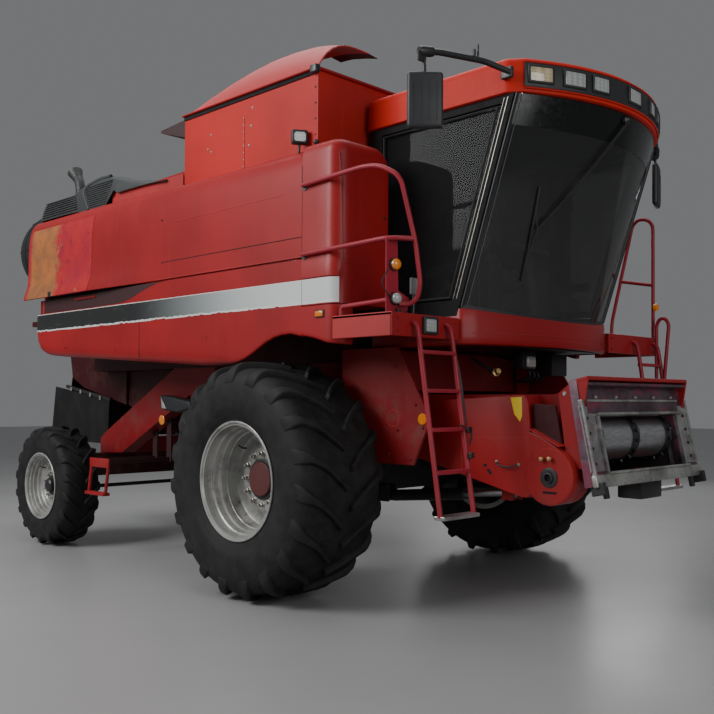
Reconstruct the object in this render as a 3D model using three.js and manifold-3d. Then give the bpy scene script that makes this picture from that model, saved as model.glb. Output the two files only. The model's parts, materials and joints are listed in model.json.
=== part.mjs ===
// Combine harvester without a header, in millimetres, Z up, the front of the machine facing -Y and its
// left side towards +X. Pieces are drawn in the machine's own frame, whose origin is on the ground under
// the front axle's centre, and one outer group moves that frame so that the model is centred on its box.
import * as THREE from "three";
import { mergeVertices } from "three/addons/utils/BufferGeometryUtils.js";
import Module from "manifold-3d";

const wasm = await Module();
wasm.setup();

// ---- driving dimensions ------------------------------------------------------------------------------
const GAP = 0.3; // between pieces that touch
const MOVE_GAP = 8; // between pieces that move past each other

const WHEELBASE = 3500;
const FRONT = { track: 2860, r: 870, w: 770, bead: 406, rimW: 690, dish: 50, flange: 30 };
const REAR = { track: 2800, r: 590, w: 380, bead: 305, rimW: 364, dish: 30, flange: 26 };
const RIM_T = 14; // rim sheet
const WHEEL_SIDES = 24;
const TIE_REAR = 260; // tie rod's distance behind the kingpins
const KINGPIN_X = 1075;

const BODY_HALF = 1550; // outer face of the side panels
const PANEL_T = 20; // side panel with its frame
const BODY_REAR = WHEELBASE + 380;
const DECK_Z = 2250; // floor that the tank and the engine stand on
const PANEL_TOP = 3200;
const LIP_Z = 2475; // lower edge of the upper panels
const SKIRT_FRONT = -840;
const SEAM_Y = -467; // upright seam behind the front corner

const TANK = { half: 1400, left: 1100, front: -460, rear: 1250, top: 3870, wall: 20 };
const LID = { width: 505, rise: 235, rearRise: 45, t: 6 };

const CASING_HALF = 900;
const SHOE_HALF = 720; // lower casing between the wheels
const CASING_FRONT = -330;
const SHOE_TOP = 1750;

const CAB = { half: 930, rear: -520, front: -1395, sill: 2100, top: 3480, lean: 465, wall: 50, floor: 1840 };
const WINDSHIELD = { sag: 230, dip: 60, t: 8 };
const ROOF_T = 250;
const DOOR_REAR = -920;
const DOOR_HINGE = { x: CAB.half + 10, y: DOOR_REAR - 6, r: 9, tall: 60, z: [2350, 3150] };
const WINDOW_SILL = 2150;
const WINDOW_HEAD = 3430;
const WINDOW_REVEAL = 8; // door to its opening

const DECK_RIGHT = { x: BODY_HALF + 50, front: -1400, top: 2020, low: 1870 };
const DECK_LEFT = { x: BODY_HALF + 190, front: -1460, top: 2020, low: 1860 };
const RAIL_R = 16;
const RAIL_START = -500; // where the right handrail stands off the corner panel

const FEEDER = { pivotY: -450, pivotZ: 1300, half: 560, wall: 18 };
const PLATE = { topY: -2180, topZ: 1600, lowY: -2330, lowZ: 917, topHalf: 690, lowHalf: 730, t: 60 };
const MOUTH = { half: 550, low: 85, high: 455 };
const DRUM = { y: -2010, z: 1200, r: 150, rearY: -640, rearZ: 1290, rearR: 70 };

const LIFT = { x: 430, axleY: -260, axleZ: 690, feederY: -1480, feederZ: 800, barrelR: 45, rodR: 25 };

const AUGER = { x: 1330, y: -640, z: 3430, r: 145, length: BODY_REAR + 920, elbowR: 190 };
const SCREEN = { x: -950, z: 3050, r: 460, y: BODY_REAR + 120, deep: 480 };
const HOOD_TOP = 3600;
const HOOD_REAR_TOP = 3505;
const CURTAIN_Y = WHEELBASE + 1220;
const CASING_REAR = WHEELBASE + 200;
const SHOE_REAR = WHEELBASE - 200;

// ---- solids ------------------------------------------------------------------------------------------
const flat = (points) => new THREE.Shape(points.map(([a, b]) => new THREE.Vector2(a, b)));

// A closed three.js geometry as a solid that can be joined and cut; its faces are turned out if need be.
function solid(geometry) {
  const bare = geometry.index ? geometry.toNonIndexed() : geometry;
  const only = new THREE.BufferGeometry().setAttribute("position", bare.getAttribute("position"));
  const merged = mergeVertices(only, 1e-3);
  const make = (triVerts) =>
    new wasm.Manifold(
      new wasm.Mesh({ numProp: 3, vertProperties: merged.attributes.position.array, triVerts }),
    );
  const tris = new Uint32Array(merged.index.array);
  const made = make(tris);
  return made.volume() < 0 ? make(tris.reverse()) : made;
}

const join = (...pieces) => pieces.flat().reduce((all, piece) => all.add(piece));
const cut = (whole, ...tools) => tools.flat().reduce((rest, tool) => rest.subtract(tool), whole);

function block(x0, x1, y0, y1, z0, z1) {
  const g = new THREE.BoxGeometry(Math.abs(x1 - x0), Math.abs(y1 - y0), Math.abs(z1 - z0));
  return solid(g.translate((x0 + x1) / 2, (y0 + y1) / 2, (z0 + z1) / 2));
}

// An outline of [y, z] points drawn out from x0 to x1.
function alongX(points, x0, x1) {
  const g = new THREE.ExtrudeGeometry(flat(points), { depth: x1 - x0, bevelEnabled: false });
  const turn = new THREE.Matrix4().makeBasis(
    new THREE.Vector3(0, 1, 0),
    new THREE.Vector3(0, 0, 1),
    new THREE.Vector3(1, 0, 0),
  );
  return solid(g.applyMatrix4(turn).translate(x0, 0, 0));
}

// An outline of [x, z] points drawn out from y0 to y1.
function alongY(points, y0, y1) {
  const g = new THREE.ExtrudeGeometry(flat(points), { depth: y1 - y0, bevelEnabled: false });
  return solid(g.rotateX(Math.PI / 2).translate(0, y1, 0));
}

// An outline of [x, y] points drawn up from z0 to z1.
function upright(points, z0, z1, bevel = 0) {
  const g = new THREE.ExtrudeGeometry(flat(points), {
    depth: z1 - z0 - 2 * bevel,
    bevelEnabled: bevel > 0,
    bevelThickness: bevel,
    bevelSize: bevel,
    bevelOffset: -bevel,
    bevelSegments: 2,
  });
  return solid(g.translate(0, 0, z0 + bevel));
}

// A turned piece: [radius, along] points about an axis through (x, y, z).
function turned(axis, profile, x, y, z, sides = 24) {
  const g = new THREE.LatheGeometry(
    profile.map(([r, a]) => new THREE.Vector2(r, a)),
    sides,
  );
  if (axis === "x") g.rotateZ(-Math.PI / 2);
  if (axis === "z") g.rotateX(Math.PI / 2);
  return solid(g.translate(x, y, z));
}

const disc = (axis, r, a0, a1, x, y, z, sides = 24) =>
  turned(axis, [[0, a0], [r, a0], [r, a1], [0, a1]], x, y, z, sides);

// A straight round bar between two points.
function bar(a, b, r, sides = 12) {
  const from = new THREE.Vector3(...a);
  const along = new THREE.Vector3(...b).sub(from);
  const g = new THREE.CylinderGeometry(r, r, along.length(), sides);
  g.translate(0, along.length() / 2, 0);
  g.applyQuaternion(
    new THREE.Quaternion().setFromUnitVectors(new THREE.Vector3(0, 1, 0), along.clone().normalize()),
  );
  return solid(g.translate(...a));
}

// A bent round tube: a bar for each leg and a ball at each bend.
function tube(points, r, sides = 6) {
  const legs = points.slice(1).map((p, i) => bar(points[i], p, r, sides));
  const bends = points.slice(1, -1).map((p) => solid(new THREE.SphereGeometry(r, sides, 4).translate(...p)));
  return join(legs, bends);
}

// A curved sheet: at(u, v) gives the outer face and off the vector from it to the inner face.
function sheet(at, off, nu, nv) {
  const position = [];
  for (const [ox, oy, oz] of [[0, 0, 0], off]) {
    for (let j = 0; j <= nv; j++) {
      for (let i = 0; i <= nu; i++) {
        const [x, y, z] = at(i / nu, j / nv);
        position.push(x + ox, y + oy, z + oz);
      }
    }
  }
  const row = nu + 1;
  const layer = row * (nv + 1);
  const index = [];
  const quad = (a, b, c, d) => index.push(a, b, c, a, c, d);
  for (let j = 0; j < nv; j++) {
    for (let i = 0; i < nu; i++) {
      const a = j * row + i;
      quad(a, a + 1, a + row + 1, a + row);
      quad(layer + a, layer + a + row, layer + a + row + 1, layer + a + 1);
    }
  }
  for (let i = 0; i < nu; i++) {
    const far = nv * row + i;
    quad(i, layer + i, layer + i + 1, i + 1);
    quad(far + 1, layer + far + 1, layer + far, far);
  }
  for (let j = 0; j < nv; j++) {
    const a = j * row;
    const b = a + nu;
    quad(a + row, layer + a + row, layer + a, a);
    quad(b, layer + b, layer + b + row, b + row);
  }
  const g = new THREE.BufferGeometry();
  g.setAttribute("position", new THREE.Float32BufferAttribute(position, 3));
  g.setIndex(index);
  return solid(g);
}

// ---- materials and nodes -----------------------------------------------------------------------------
const finish = (color, roughness, metalness) => ({ color, roughness, metalness });
const RED = finish(0xa3262b, 0.45, 0.1);
const BLACK = finish(0x1d1e20, 0.6, 0.1);
const TYRE = finish(0x1a1a1b, 0.9, 0);
const RIM = finish(0xa9aaa8, 0.5, 0.4);
const STEEL = finish(0x8d8f92, 0.4, 0.8);
const GLASS = finish(0x2b3033, 0.1, 0);
const IRON = finish(0x3a3b3d, 0.7, 0.4);
const CLOTH = finish(0x3d3a38, 0.9, 0);

const machine = new THREE.Group();

// Adds one named piece. Pieces of a pair are drawn on the machine's left, and side -1 mirrors them.
function node(name, shape, look, side = 1) {
  const { vertProperties, triVerts } = shape.getMesh();
  const g = new THREE.BufferGeometry();
  g.setAttribute("position", new THREE.Float32BufferAttribute(vertProperties, 3));
  g.setIndex(new THREE.Uint32BufferAttribute(triVerts, 1));
  const mesh = new THREE.Mesh(g, new THREE.MeshStandardMaterial(look));
  mesh.name = name;
  mesh.scale.x = side;
  machine.add(mesh);
}

const SIDES = [
  ["left", 1],
  ["right", -1],
];

// ---- wheels and axles --------------------------------------------------------------------------------
// Rim and tyre share their number of sides, and stand on a flat as wide as a loaded tyre's patch.
function wheelPiece(profile, size, y) {
  const g = new THREE.LatheGeometry(
    profile.map(([r, a]) => new THREE.Vector2(r, a)),
    WHEEL_SIDES,
    Math.PI / WHEEL_SIDES,
  );
  return solid(g.rotateZ(-Math.PI / 2).translate(size.track / 2, y, size.r));
}

function rim(size, y) {
  const half = size.rimW / 2;
  const lip = size.bead + size.flange;
  const wall = size.bead - RIM_T;
  const face = size.dish + RIM_T;
  return wheelPiece(
    [
      [0, size.dish],
      [wall, size.dish],
      [wall, -half],
      [lip, -half],
      [lip, -half + RIM_T],
      [size.bead, -half + RIM_T],
      [size.bead, half - RIM_T],
      [lip, half - RIM_T],
      [lip, half],
      [wall, half],
      [wall, face],
      [size.bead * 0.45, face],
      [size.bead * 0.4, face + 20],
      [size.bead * 0.18, face + 20],
      [size.bead * 0.15, face + 60],
      [0, face + 60],
    ],
    size,
    y,
  );
}

function tyre(size, y) {
  const seat = size.bead + 1;
  const foot = size.rimW / 2 - RIM_T - GAP;
  const side = size.w / 2;
  const crown = size.r / Math.cos(Math.PI / WHEEL_SIDES);
  const height = crown - seat;
  return wheelPiece(
    [
      [seat, -foot],
      [seat + height * 0.18, -foot],
      [seat + height * 0.45, -side],
      [seat + height * 0.75, -side * 0.95],
      [crown, -side * 0.68],
      [crown, side * 0.68],
      [seat + height * 0.75, side * 0.95],
      [seat + height * 0.45, side],
      [seat + height * 0.18, foot],
      [seat, foot],
      [seat, -foot],
    ],
    size,
    y,
  );
}

function wheels() {
  for (const [word, side] of SIDES) {
    node("front_rim_" + word, rim(FRONT, 0), RIM, side);
    node("front_tyre_" + word, tyre(FRONT, 0), TYRE, side);
    node("rear_rim_" + word, rim(REAR, WHEELBASE), RIM, side);
    node("rear_tyre_" + word, tyre(REAR, WHEELBASE), TYRE, side);
  }
}

const AXLE_TOP = 1000;
const HOUSING = { from: 905, to: 1150, r: 270 }; // final drives, outside the frame rails
const LUG_T = 22; // ear of a cylinder's bracket
const EYE_W = 70;

// Two ears with the slot for a cylinder's eye between them.
function ears(x, y0, y1, z0, z1) {
  const inner = EYE_W / 2;
  return [
    block(x - inner - LUG_T, x - inner, y0, y1, z0, z1),
    block(x + inner, x + inner + LUG_T, y0, y1, z0, z1),
  ];
}

function frontAxle() {
  const hub = FRONT.track / 2 + FRONT.dish - GAP;
  const pieces = [block(-950, 950, -140, 140, 720, AXLE_TOP)];
  for (const [, side] of SIDES) {
    pieces.push(bar([side * HOUSING.from, 0, FRONT.r], [side * HOUSING.to, 0, FRONT.r], HOUSING.r, 20));
    pieces.push(bar([side * (HOUSING.to - 50), 0, FRONT.r], [side * hub, 0, FRONT.r], 150, 16));
    pieces.push(ears(side * LIFT.x, LIFT.axleY - 28, -130, LIFT.axleZ - 45, 780));
    const pin = EYE_W / 2 + LUG_T;
    pieces.push(
      bar(
        [side * LIFT.x - pin, LIFT.axleY, LIFT.axleZ],
        [side * LIFT.x + pin, LIFT.axleY, LIFT.axleZ],
        20,
      ),
    );
  }
  node("front_axle", join(pieces.flat()), IRON);
}

const REAR_BEAM = { low: 665, high: 890 };
const KING = { r: 65, low: 500, high: 900 };
const EAR = { r: 85, t: 40 };

function rearAxle() {
  const beam = block(-KINGPIN_X, KINGPIN_X, WHEELBASE - 90, WHEELBASE + 90, REAR_BEAM.low, REAR_BEAM.high);
  const housings = SIDES.map(([, side]) =>
    disc("z", KING.r, KING.low, KING.high, side * KINGPIN_X, WHEELBASE, 0, 20),
  );
  node("rear_axle_beam", join(beam, housings), RED);
}

// The steered end: ears over and under the kingpin housing, a web outside it, the spindle and the arm.
function knuckle() {
  const web = REAR.track / 2 - REAR.w / 2 - 15;
  const spindle = REAR.track / 2 + REAR.dish - GAP;
  const low = [KING.low - GAP - EAR.t, KING.low - GAP];
  const high = [KING.high + GAP, KING.high + GAP + EAR.t];
  const ear = ([z0, z1]) => [
    disc("z", EAR.r, z0, z1, KINGPIN_X, WHEELBASE, 0, 20),
    block(KINGPIN_X, web, WHEELBASE - 60, WHEELBASE + 60, z0, z1),
  ];
  return join(
    ear(low),
    ear(high),
    block(KINGPIN_X + KING.r + MOVE_GAP, web, WHEELBASE - 60, WHEELBASE + 60, low[0], high[1]),
    bar([web - 5, WHEELBASE, REAR.r], [spindle, WHEELBASE, REAR.r], 60, 20),
    block(KINGPIN_X - 40, KINGPIN_X + 10, WHEELBASE, WHEELBASE + TIE_REAR + 40, low[0], low[1]),
  );
}

const ARM_TOP = KING.low - GAP;
const ARM_X = KINGPIN_X - 15;

function steering() {
  for (const [word, side] of SIDES) node("knuckle_" + word, knuckle(), IRON, side);
  const y = WHEELBASE + TIE_REAR;
  const z = ARM_TOP + GAP;
  node(
    "tie_rod",
    join(
      bar([-ARM_X, y, z + 22], [ARM_X, y, z + 22], 20),
      SIDES.map(([, side]) => disc("z", 30, z, z + 44, side * ARM_X, y, 0, 16)),
    ),
    IRON,
  );
}

// ---- chassis -----------------------------------------------------------------------------------------
const RAIL = { in: 745, out: 895, low: AXLE_TOP + GAP, high: 1180 };

function mainFrame() {
  const pieces = [];
  const side = (points) =>
    SIDES.forEach(([, s]) =>
      pieces.push(
        s > 0 ? alongX(points, RAIL.in, RAIL.out) : alongX(points, -RAIL.out, -RAIL.in),
      ),
    );
  const top = SHOE_TOP - GAP;
  const railEnd = WHEELBASE - 1600;
  side([[-700, RAIL.low], [railEnd, RAIL.low], [railEnd, RAIL.high], [-700, RAIL.high]]);
  side([[-560, RAIL.high - 5], [160, RAIL.high - 5], [160, top], [CASING_FRONT, top], [-560, 1450]]);
  side([
    [WHEELBASE - 2000, RAIL.high - 5],
    [WHEELBASE - 1700, RAIL.high - 5],
    [WHEELBASE - 1600, 1500],
    [WHEELBASE - 600, 1020],
    [WHEELBASE - 370, 910],
    [WHEELBASE + 60, REAR_BEAM.high + GAP],
    [WHEELBASE + 60, 1050],
    [WHEELBASE - 80, 1130],
    [WHEELBASE - 1330, top],
    [WHEELBASE - 2000, top],
  ]);
  const cross = (y0, y1, z0, z1) => block(-RAIL.in - 5, RAIL.in + 5, y0, y1, z0, z1);
  pieces.push(cross(WHEELBASE - 120, WHEELBASE + 60, REAR_BEAM.high + GAP, 1050));
  pieces.push(cross(WHEELBASE - 2000, WHEELBASE - 1850, RAIL.low, 1120));
  for (const [, s] of SIDES) {
    const plate = [
      [-300, 1000],
      [-300, CAB.floor],
      [-877, CAB.floor],
      [-1197, 1330],
      [-1038, 1000],
    ];
    pieces.push(s > 0 ? alongX(plate, 980, 1000) : alongX(plate, -1000, -980));
    pieces.push(block(s * (RAIL.out - 5), s * 985, -660, -560, RAIL.low, RAIL.high));
    pieces.push(block(s * (RAIL.out - 5), s * 985, -660, -560, 1700, 1800));
    pieces.push(block(s * RAIL.in, s * RAIL.out, -660, -555, RAIL.high - 5, CAB.floor));
  }
  node("main_frame", join(pieces), RED);
}

function separator() {
  const shoe = alongX(
    [
      [CASING_FRONT, 1250],
      [200, 1130],
      [SHOE_REAR - 700, 1130],
      [SHOE_REAR, 1400],
      [SHOE_REAR, SHOE_TOP + 5],
      [CASING_FRONT, SHOE_TOP + 5],
    ],
    -SHOE_HALF,
    SHOE_HALF,
  );
  const upper = block(-CASING_HALF, CASING_HALF, CASING_FRONT, CASING_REAR, SHOE_TOP, DECK_Z - 40);
  const deck = block(-1500, 1500, SEAM_Y + 10, BODY_REAR, DECK_Z - 50, DECK_Z);
  node("separator_casing", join(shoe, upper, deck), RED);
}

// ---- body --------------------------------------------------------------------------------------------
const HINGE = { r: 9, x: BODY_HALF - 14, z: LIP_Z - 24 };
const HINGE_SPOTS = [100, WHEELBASE / 2 + 50, WHEELBASE - 100];
const HINGE_W = 60;

function upperPanels() {
  const t = PANEL_T;
  const out = BODY_HALF;
  const face = [
    [out, LIP_Z],
    [out, 2960],
    [out - 25, 3080],
    [out - 80, PANEL_TOP - 25],
    [TANK.half + GAP, PANEL_TOP],
    [TANK.half + GAP, PANEL_TOP - t],
    [out - 95, PANEL_TOP - t - 25],
    [out - 45, 3075],
    [out - t, 2955],
    [out - t, LIP_Z],
  ];
  const panel = join(
    alongY(face, SEAM_Y, BODY_REAR),
    HINGE_SPOTS.flatMap((y) => [
      bar([HINGE.x, y, HINGE.z], [HINGE.x, y + HINGE_W, HINGE.z], HINGE.r),
      block(HINGE.x - 4, HINGE.x + 4, y, y + HINGE_W, HINGE.z, LIP_Z + 5),
    ]),
  );
  for (const [word, side] of SIDES) node("upper_panel_" + word, panel, RED, side);
}

// The lifting shields below: striped band, skirt and wheel arch, hung from the upper panels.
function sideShields() {
  const top = LIP_Z - 35;
  const low = CORNER_LOW - MOVE_GAP;
  const outline = [
    [SEAM_Y, low],
    [SKIRT_FRONT, low],
    [SKIRT_FRONT, 1840],
    [-343, 1935],
    [0, 1880],
    [283, 1745],
    [774, 1730],
    [WHEELBASE - 341, 1868],
    [WHEELBASE + 100, 1940],
    [WHEELBASE + 180, 2010],
    [WHEELBASE + 180, top],
    [SEAM_Y, top],
  ];
  const knuckles = HINGE_SPOTS.flatMap((y) => {
    const from = y + HINGE_W + GAP;
    return [
      bar([HINGE.x, from, HINGE.z], [HINGE.x, from + HINGE_W, HINGE.z], HINGE.r),
      block(HINGE.x - 4, HINGE.x + 4, from, from + HINGE_W, top - 5, HINGE.z),
    ];
  });
  const shield = join(alongX(outline, BODY_HALF - PANEL_T, BODY_HALF), knuckles);
  for (const [word, side] of SIDES) node("side_shield_" + word, shield, RED, side);
}

// Plan of a front corner: [x, y], rounded outside, open to the rear.
function cornerPlan(grow) {
  const r = 110 - grow;
  const rear = grow ? SEAM_Y + 50 : SEAM_Y - MOVE_GAP;
  const points = [[1050 + grow, rear], [1050 + grow, SKIRT_FRONT + grow]];
  for (let i = 0; i <= 4; i++) {
    const a = (-90 + (i * 90) / 4) * (Math.PI / 180);
    points.push([
      BODY_HALF - 110 + r * Math.cos(a),
      SKIRT_FRONT + 110 + r * Math.sin(a),
    ]);
  }
  points.push([BODY_HALF - grow, rear]);
  return points;
}

const CORNER_LOW = 2120;
const LOCKER_TOP = 2400;

function corners() {
  const bracket = (z) => block(1055, 1085, SEAM_Y - 60, TANK.front - GAP, z, z + 80);
  const corner = (top, ...brackets) =>
    join(
      cut(upright(cornerPlan(0), CORNER_LOW, top), upright(cornerPlan(20), CORNER_LOW + 20, top - 20)),
      brackets.map(bracket),
    );
  node("corner_panel_right", corner(PANEL_TOP, 2300, 3000), RED, -1);
  node("corner_panel_left", corner(LOCKER_TOP, 2300), RED);
}

function grainTank() {
  const t = TANK.wall;
  const low = DECK_Z + GAP;
  const bin = block(-TANK.half, TANK.half, TANK.front, TANK.rear, low, PANEL_TOP);
  const hopper = alongY(
    [
      [-TANK.half + t, PANEL_TOP - t],
      [-TANK.half + t, 2750],
      [-300, low + 40],
      [300, low + 40],
      [TANK.half - t, 2750],
      [TANK.half - t, PANEL_TOP - t],
    ],
    TANK.front + t,
    TANK.rear - t,
  );
  const upper = block(-TANK.half, TANK.left, TANK.front, TANK.rear, PANEL_TOP - 5, TANK.top);
  const inside = block(
    -TANK.half + t,
    TANK.left - t,
    TANK.front + t,
    TANK.rear - t,
    PANEL_TOP - 2 * t,
    TANK.top + 5,
  );
  const flap = alongX(
    [
      [TANK.rear - 5, TANK.top - 180],
      [TANK.rear + 440, TANK.top - 50],
      [TANK.rear + 440, TANK.top - 30],
      [TANK.rear - 5, TANK.top - 5],
    ],
    -TANK.half + 40,
    TANK.left - 40,
  );
  node("grain_tank", join(cut(join(bin, upper), hopper, inside), flap), RED);
}

const LID_Z = TANK.top + 14;

// An arched cover hinged on a tank side wall at x, reaching inwards; it is highest at the front.
function lid(x, inward) {
  const span = TANK.rear - TANK.front;
  const at = (u, v) => [
    x + inward * LID.width * u,
    TANK.front + span * v,
    LID_Z + (LID.rise + (LID.rearRise - LID.rise) * v ** 1.3) * (1 - (1 - u) ** 2.2) + 6,
  ];
  const arch = sheet(at, [0, 0, -LID.t], 8, 6);
  const hinge = bar([x, TANK.front + 2, LID_Z], [x, TANK.rear - 2, LID_Z], 13.5 - GAP);
  return join(arch, hinge);
}

function lids() {
  node("tank_lid_right", lid(-TANK.half + 15, 1), RED);
  node("tank_lid_left", lid(TANK.left - 15, -1), RED);
}

const HOOD_FRONT = 2420;

function engineBay() {
  node("engine", block(-600, 500, 1500, 2700, DECK_Z + GAP, 3000), IRON);
  const deckTop = PANEL_TOP;
  const post = (x, y) => block(x - 30, x + 30, y - 30, y + 30, DECK_Z + GAP, deckTop - 20);
  node(
    "engine_deck",
    join(
      block(-TANK.half, TANK.half, TANK.rear + GAP, BODY_REAR, deckTop - 30, deckTop),
      post(-1350, 1320),
      post(1350, 1320),
      post(-1350, BODY_REAR - 40),
      post(1350, BODY_REAR - 40),
      alongX(
        [
          [TANK.rear + GAP, deckTop - 5],
          [HOOD_FRONT + 60, deckTop - 5],
          [HOOD_FRONT - GAP, deckTop + 180],
          [TANK.rear + GAP, deckTop + 210],
        ],
        -TANK.half + 20,
        -500,
      ),
    ),
    RED,
  );
  node(
    "engine_hood",
    alongX(
      [
        [HOOD_FRONT + 120, deckTop + GAP],
        [BODY_REAR - 20, deckTop + GAP],
        [BODY_REAR - 80, HOOD_REAR_TOP],
        [BODY_REAR - 580, HOOD_REAR_TOP],
        [2980, HOOD_TOP],
        [2550, HOOD_TOP],
        [1500, deckTop + 235],
        [1500, deckTop + 212],
        [HOOD_FRONT + 10, deckTop + 190],
      ],
      -1440,
      -500,
    ),
    BLACK,
  );
  const outlet = BODY_REAR - 400;
  node(
    "exhaust_pipe",
    tube(
      [
        [SCREEN.x, outlet, HOOD_REAR_TOP + GAP],
        [SCREEN.x, outlet, HOOD_REAR_TOP + 175],
        [SCREEN.x, outlet + 80, HOOD_REAR_TOP + 255],
      ],
      55,
      14,
    ),
    STEEL,
  );
  node("fuel_tank", block(150, 1300, BODY_REAR - 880, BODY_REAR - 40, DECK_Z + GAP, 3080), BLACK);
}

function rotaryScreen() {
  const ring = turned(
    "y",
    [
      [SCREEN.r - 30, 0],
      [SCREEN.r + 10, 0],
      [SCREEN.r + 10, SCREEN.y - BODY_REAR - MOVE_GAP],
      [SCREEN.r - 30, SCREEN.y - BODY_REAR - MOVE_GAP],
      [SCREEN.r - 30, 0],
    ],
    SCREEN.x, BODY_REAR, SCREEN.z, 32,
  );
  const duct = block(SCREEN.x - 360, SCREEN.x + 360, BODY_REAR - 680, BODY_REAR + 10, DECK_Z + GAP, 3150);
  const shaft = disc("y", 40, -30, SCREEN.y - BODY_REAR - GAP, SCREEN.x, BODY_REAR, SCREEN.z, 16);
  node("screen_duct", join(duct, ring, shaft), BLACK);
  const r = SCREEN.r;
  node(
    "rotary_screen",
    turned(
      "y",
      [
        [0, 0],
        [r, 0],
        [r, 120],
        [r * 0.95, 240],
        [r * 0.8, 350],
        [r * 0.5, 430],
        [0, SCREEN.deep],
      ],
      SCREEN.x, SCREEN.y, SCREEN.z, 32,
    ),
    BLACK,
  );
}

// ---- straw discharge ---------------------------------------------------------------------------------
const SPREADER = { y: WHEELBASE + 650, z: 1120, r: 330, x: 350 };

function rear() {
  const half = 750;
  const lipY = WHEELBASE + 980;
  const outline = [
    [SHOE_REAR + GAP, 1400],
    [lipY - 280, 1580],
    [lipY, 1700],
    [lipY + 80, 2050],
    [lipY - 180, 2190],
    [CASING_REAR + GAP, 2190],
    [CASING_REAR + GAP, SHOE_TOP - GAP - 2],
    [SHOE_REAR + GAP, SHOE_TOP - GAP - 2],
  ];
  const inner = [
    [SHOE_REAR - 100, 1420],
    [lipY - 300, 1600],
    [lipY - 25, 1715],
    [lipY + 55, 2040],
    [lipY - 190, 2165],
    [CASING_REAR + 25, 2165],
    [CASING_REAR + 25, SHOE_TOP - 40],
    [SHOE_REAR - 100, SHOE_TOP - 40],
  ];
  const hollow = cut(
    alongX(outline, -half, half),
    alongX(inner, -half + 20, half - 20),
    block(-half + 20, half - 20, SHOE_REAR + 200, lipY - 10, 1300, 1720),
  );
  const hanger = (x) => [
    block(x - 20, x + 20, SPREADER.y - 60, SPREADER.y + 60, SPREADER.z + 50, 2180),
  ];
  const bridge = block(-half + 5, half - 5, SPREADER.y - 60, SPREADER.y + 60, 1600, 1660);
  node("straw_hood", join(hollow, bridge, hanger(-SPREADER.x), hanger(SPREADER.x)), RED);
  for (const [word, side] of SIDES) {
    const vane = (turn) => {
      const g = new THREE.BoxGeometry(SPREADER.r * 1.9, 12, 50);
      return solid(g.rotateZ(turn).translate(SPREADER.x, SPREADER.y, SPREADER.z - 22));
    };
    node(
      "spreader_disc_" + word,
      join(
        disc("z", SPREADER.r, SPREADER.z - 12, SPREADER.z, SPREADER.x, SPREADER.y, 0, 28),
        disc("z", 40, SPREADER.z - 5, SPREADER.z + 50 - GAP, SPREADER.x, SPREADER.y, 0, 16),
        vane(0),
        vane(Math.PI / 2),
      ),
      STEEL,
      side,
    );
  }
  // Rubber sheet hung on the hood's sloping rear face.
  const [hangY, hangZ] = [lipY + 2 * GAP, 1700];
  node(
    "straw_curtain",
    alongX(
      [
        [hangY, hangZ],
        [CURTAIN_Y - 12, 1000],
        [CURTAIN_Y, 1000],
        [hangY + 12, hangZ],
        [hangY + 26, hangZ + 60],
        [hangY + 14, hangZ + 60],
      ],
      -740,
      740,
    ),
    BLACK,
  );
}

// ---- feeder ------------------------------------------------------------------------------------------
// Moves a piece drawn upright at y = 0, z = 0 into the faceplate's leaning plane.
const PLATE_LEAN = Math.atan2(PLATE.topY - PLATE.lowY, PLATE.topZ - PLATE.lowZ);
const PLATE_H = Math.hypot(PLATE.topY - PLATE.lowY, PLATE.topZ - PLATE.lowZ);

function leaning(points, y0, y1) {
  const g = new THREE.ExtrudeGeometry(flat(points), { depth: y1 - y0, bevelEnabled: false });
  g.rotateX(Math.PI / 2).translate(0, y1, 0).rotateX(-PLATE_LEAN);
  return solid(g.translate(0, PLATE.lowY, PLATE.lowZ));
}

// A point on the feeder's side, given along the leaning plate (up it, and behind it).
function behindPlate(up, back) {
  return [
    PLATE.lowY + up * Math.sin(PLATE_LEAN) + back * Math.cos(PLATE_LEAN),
    PLATE.lowZ + up * Math.cos(PLATE_LEAN) - back * Math.sin(PLATE_LEAN),
  ];
}

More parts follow.
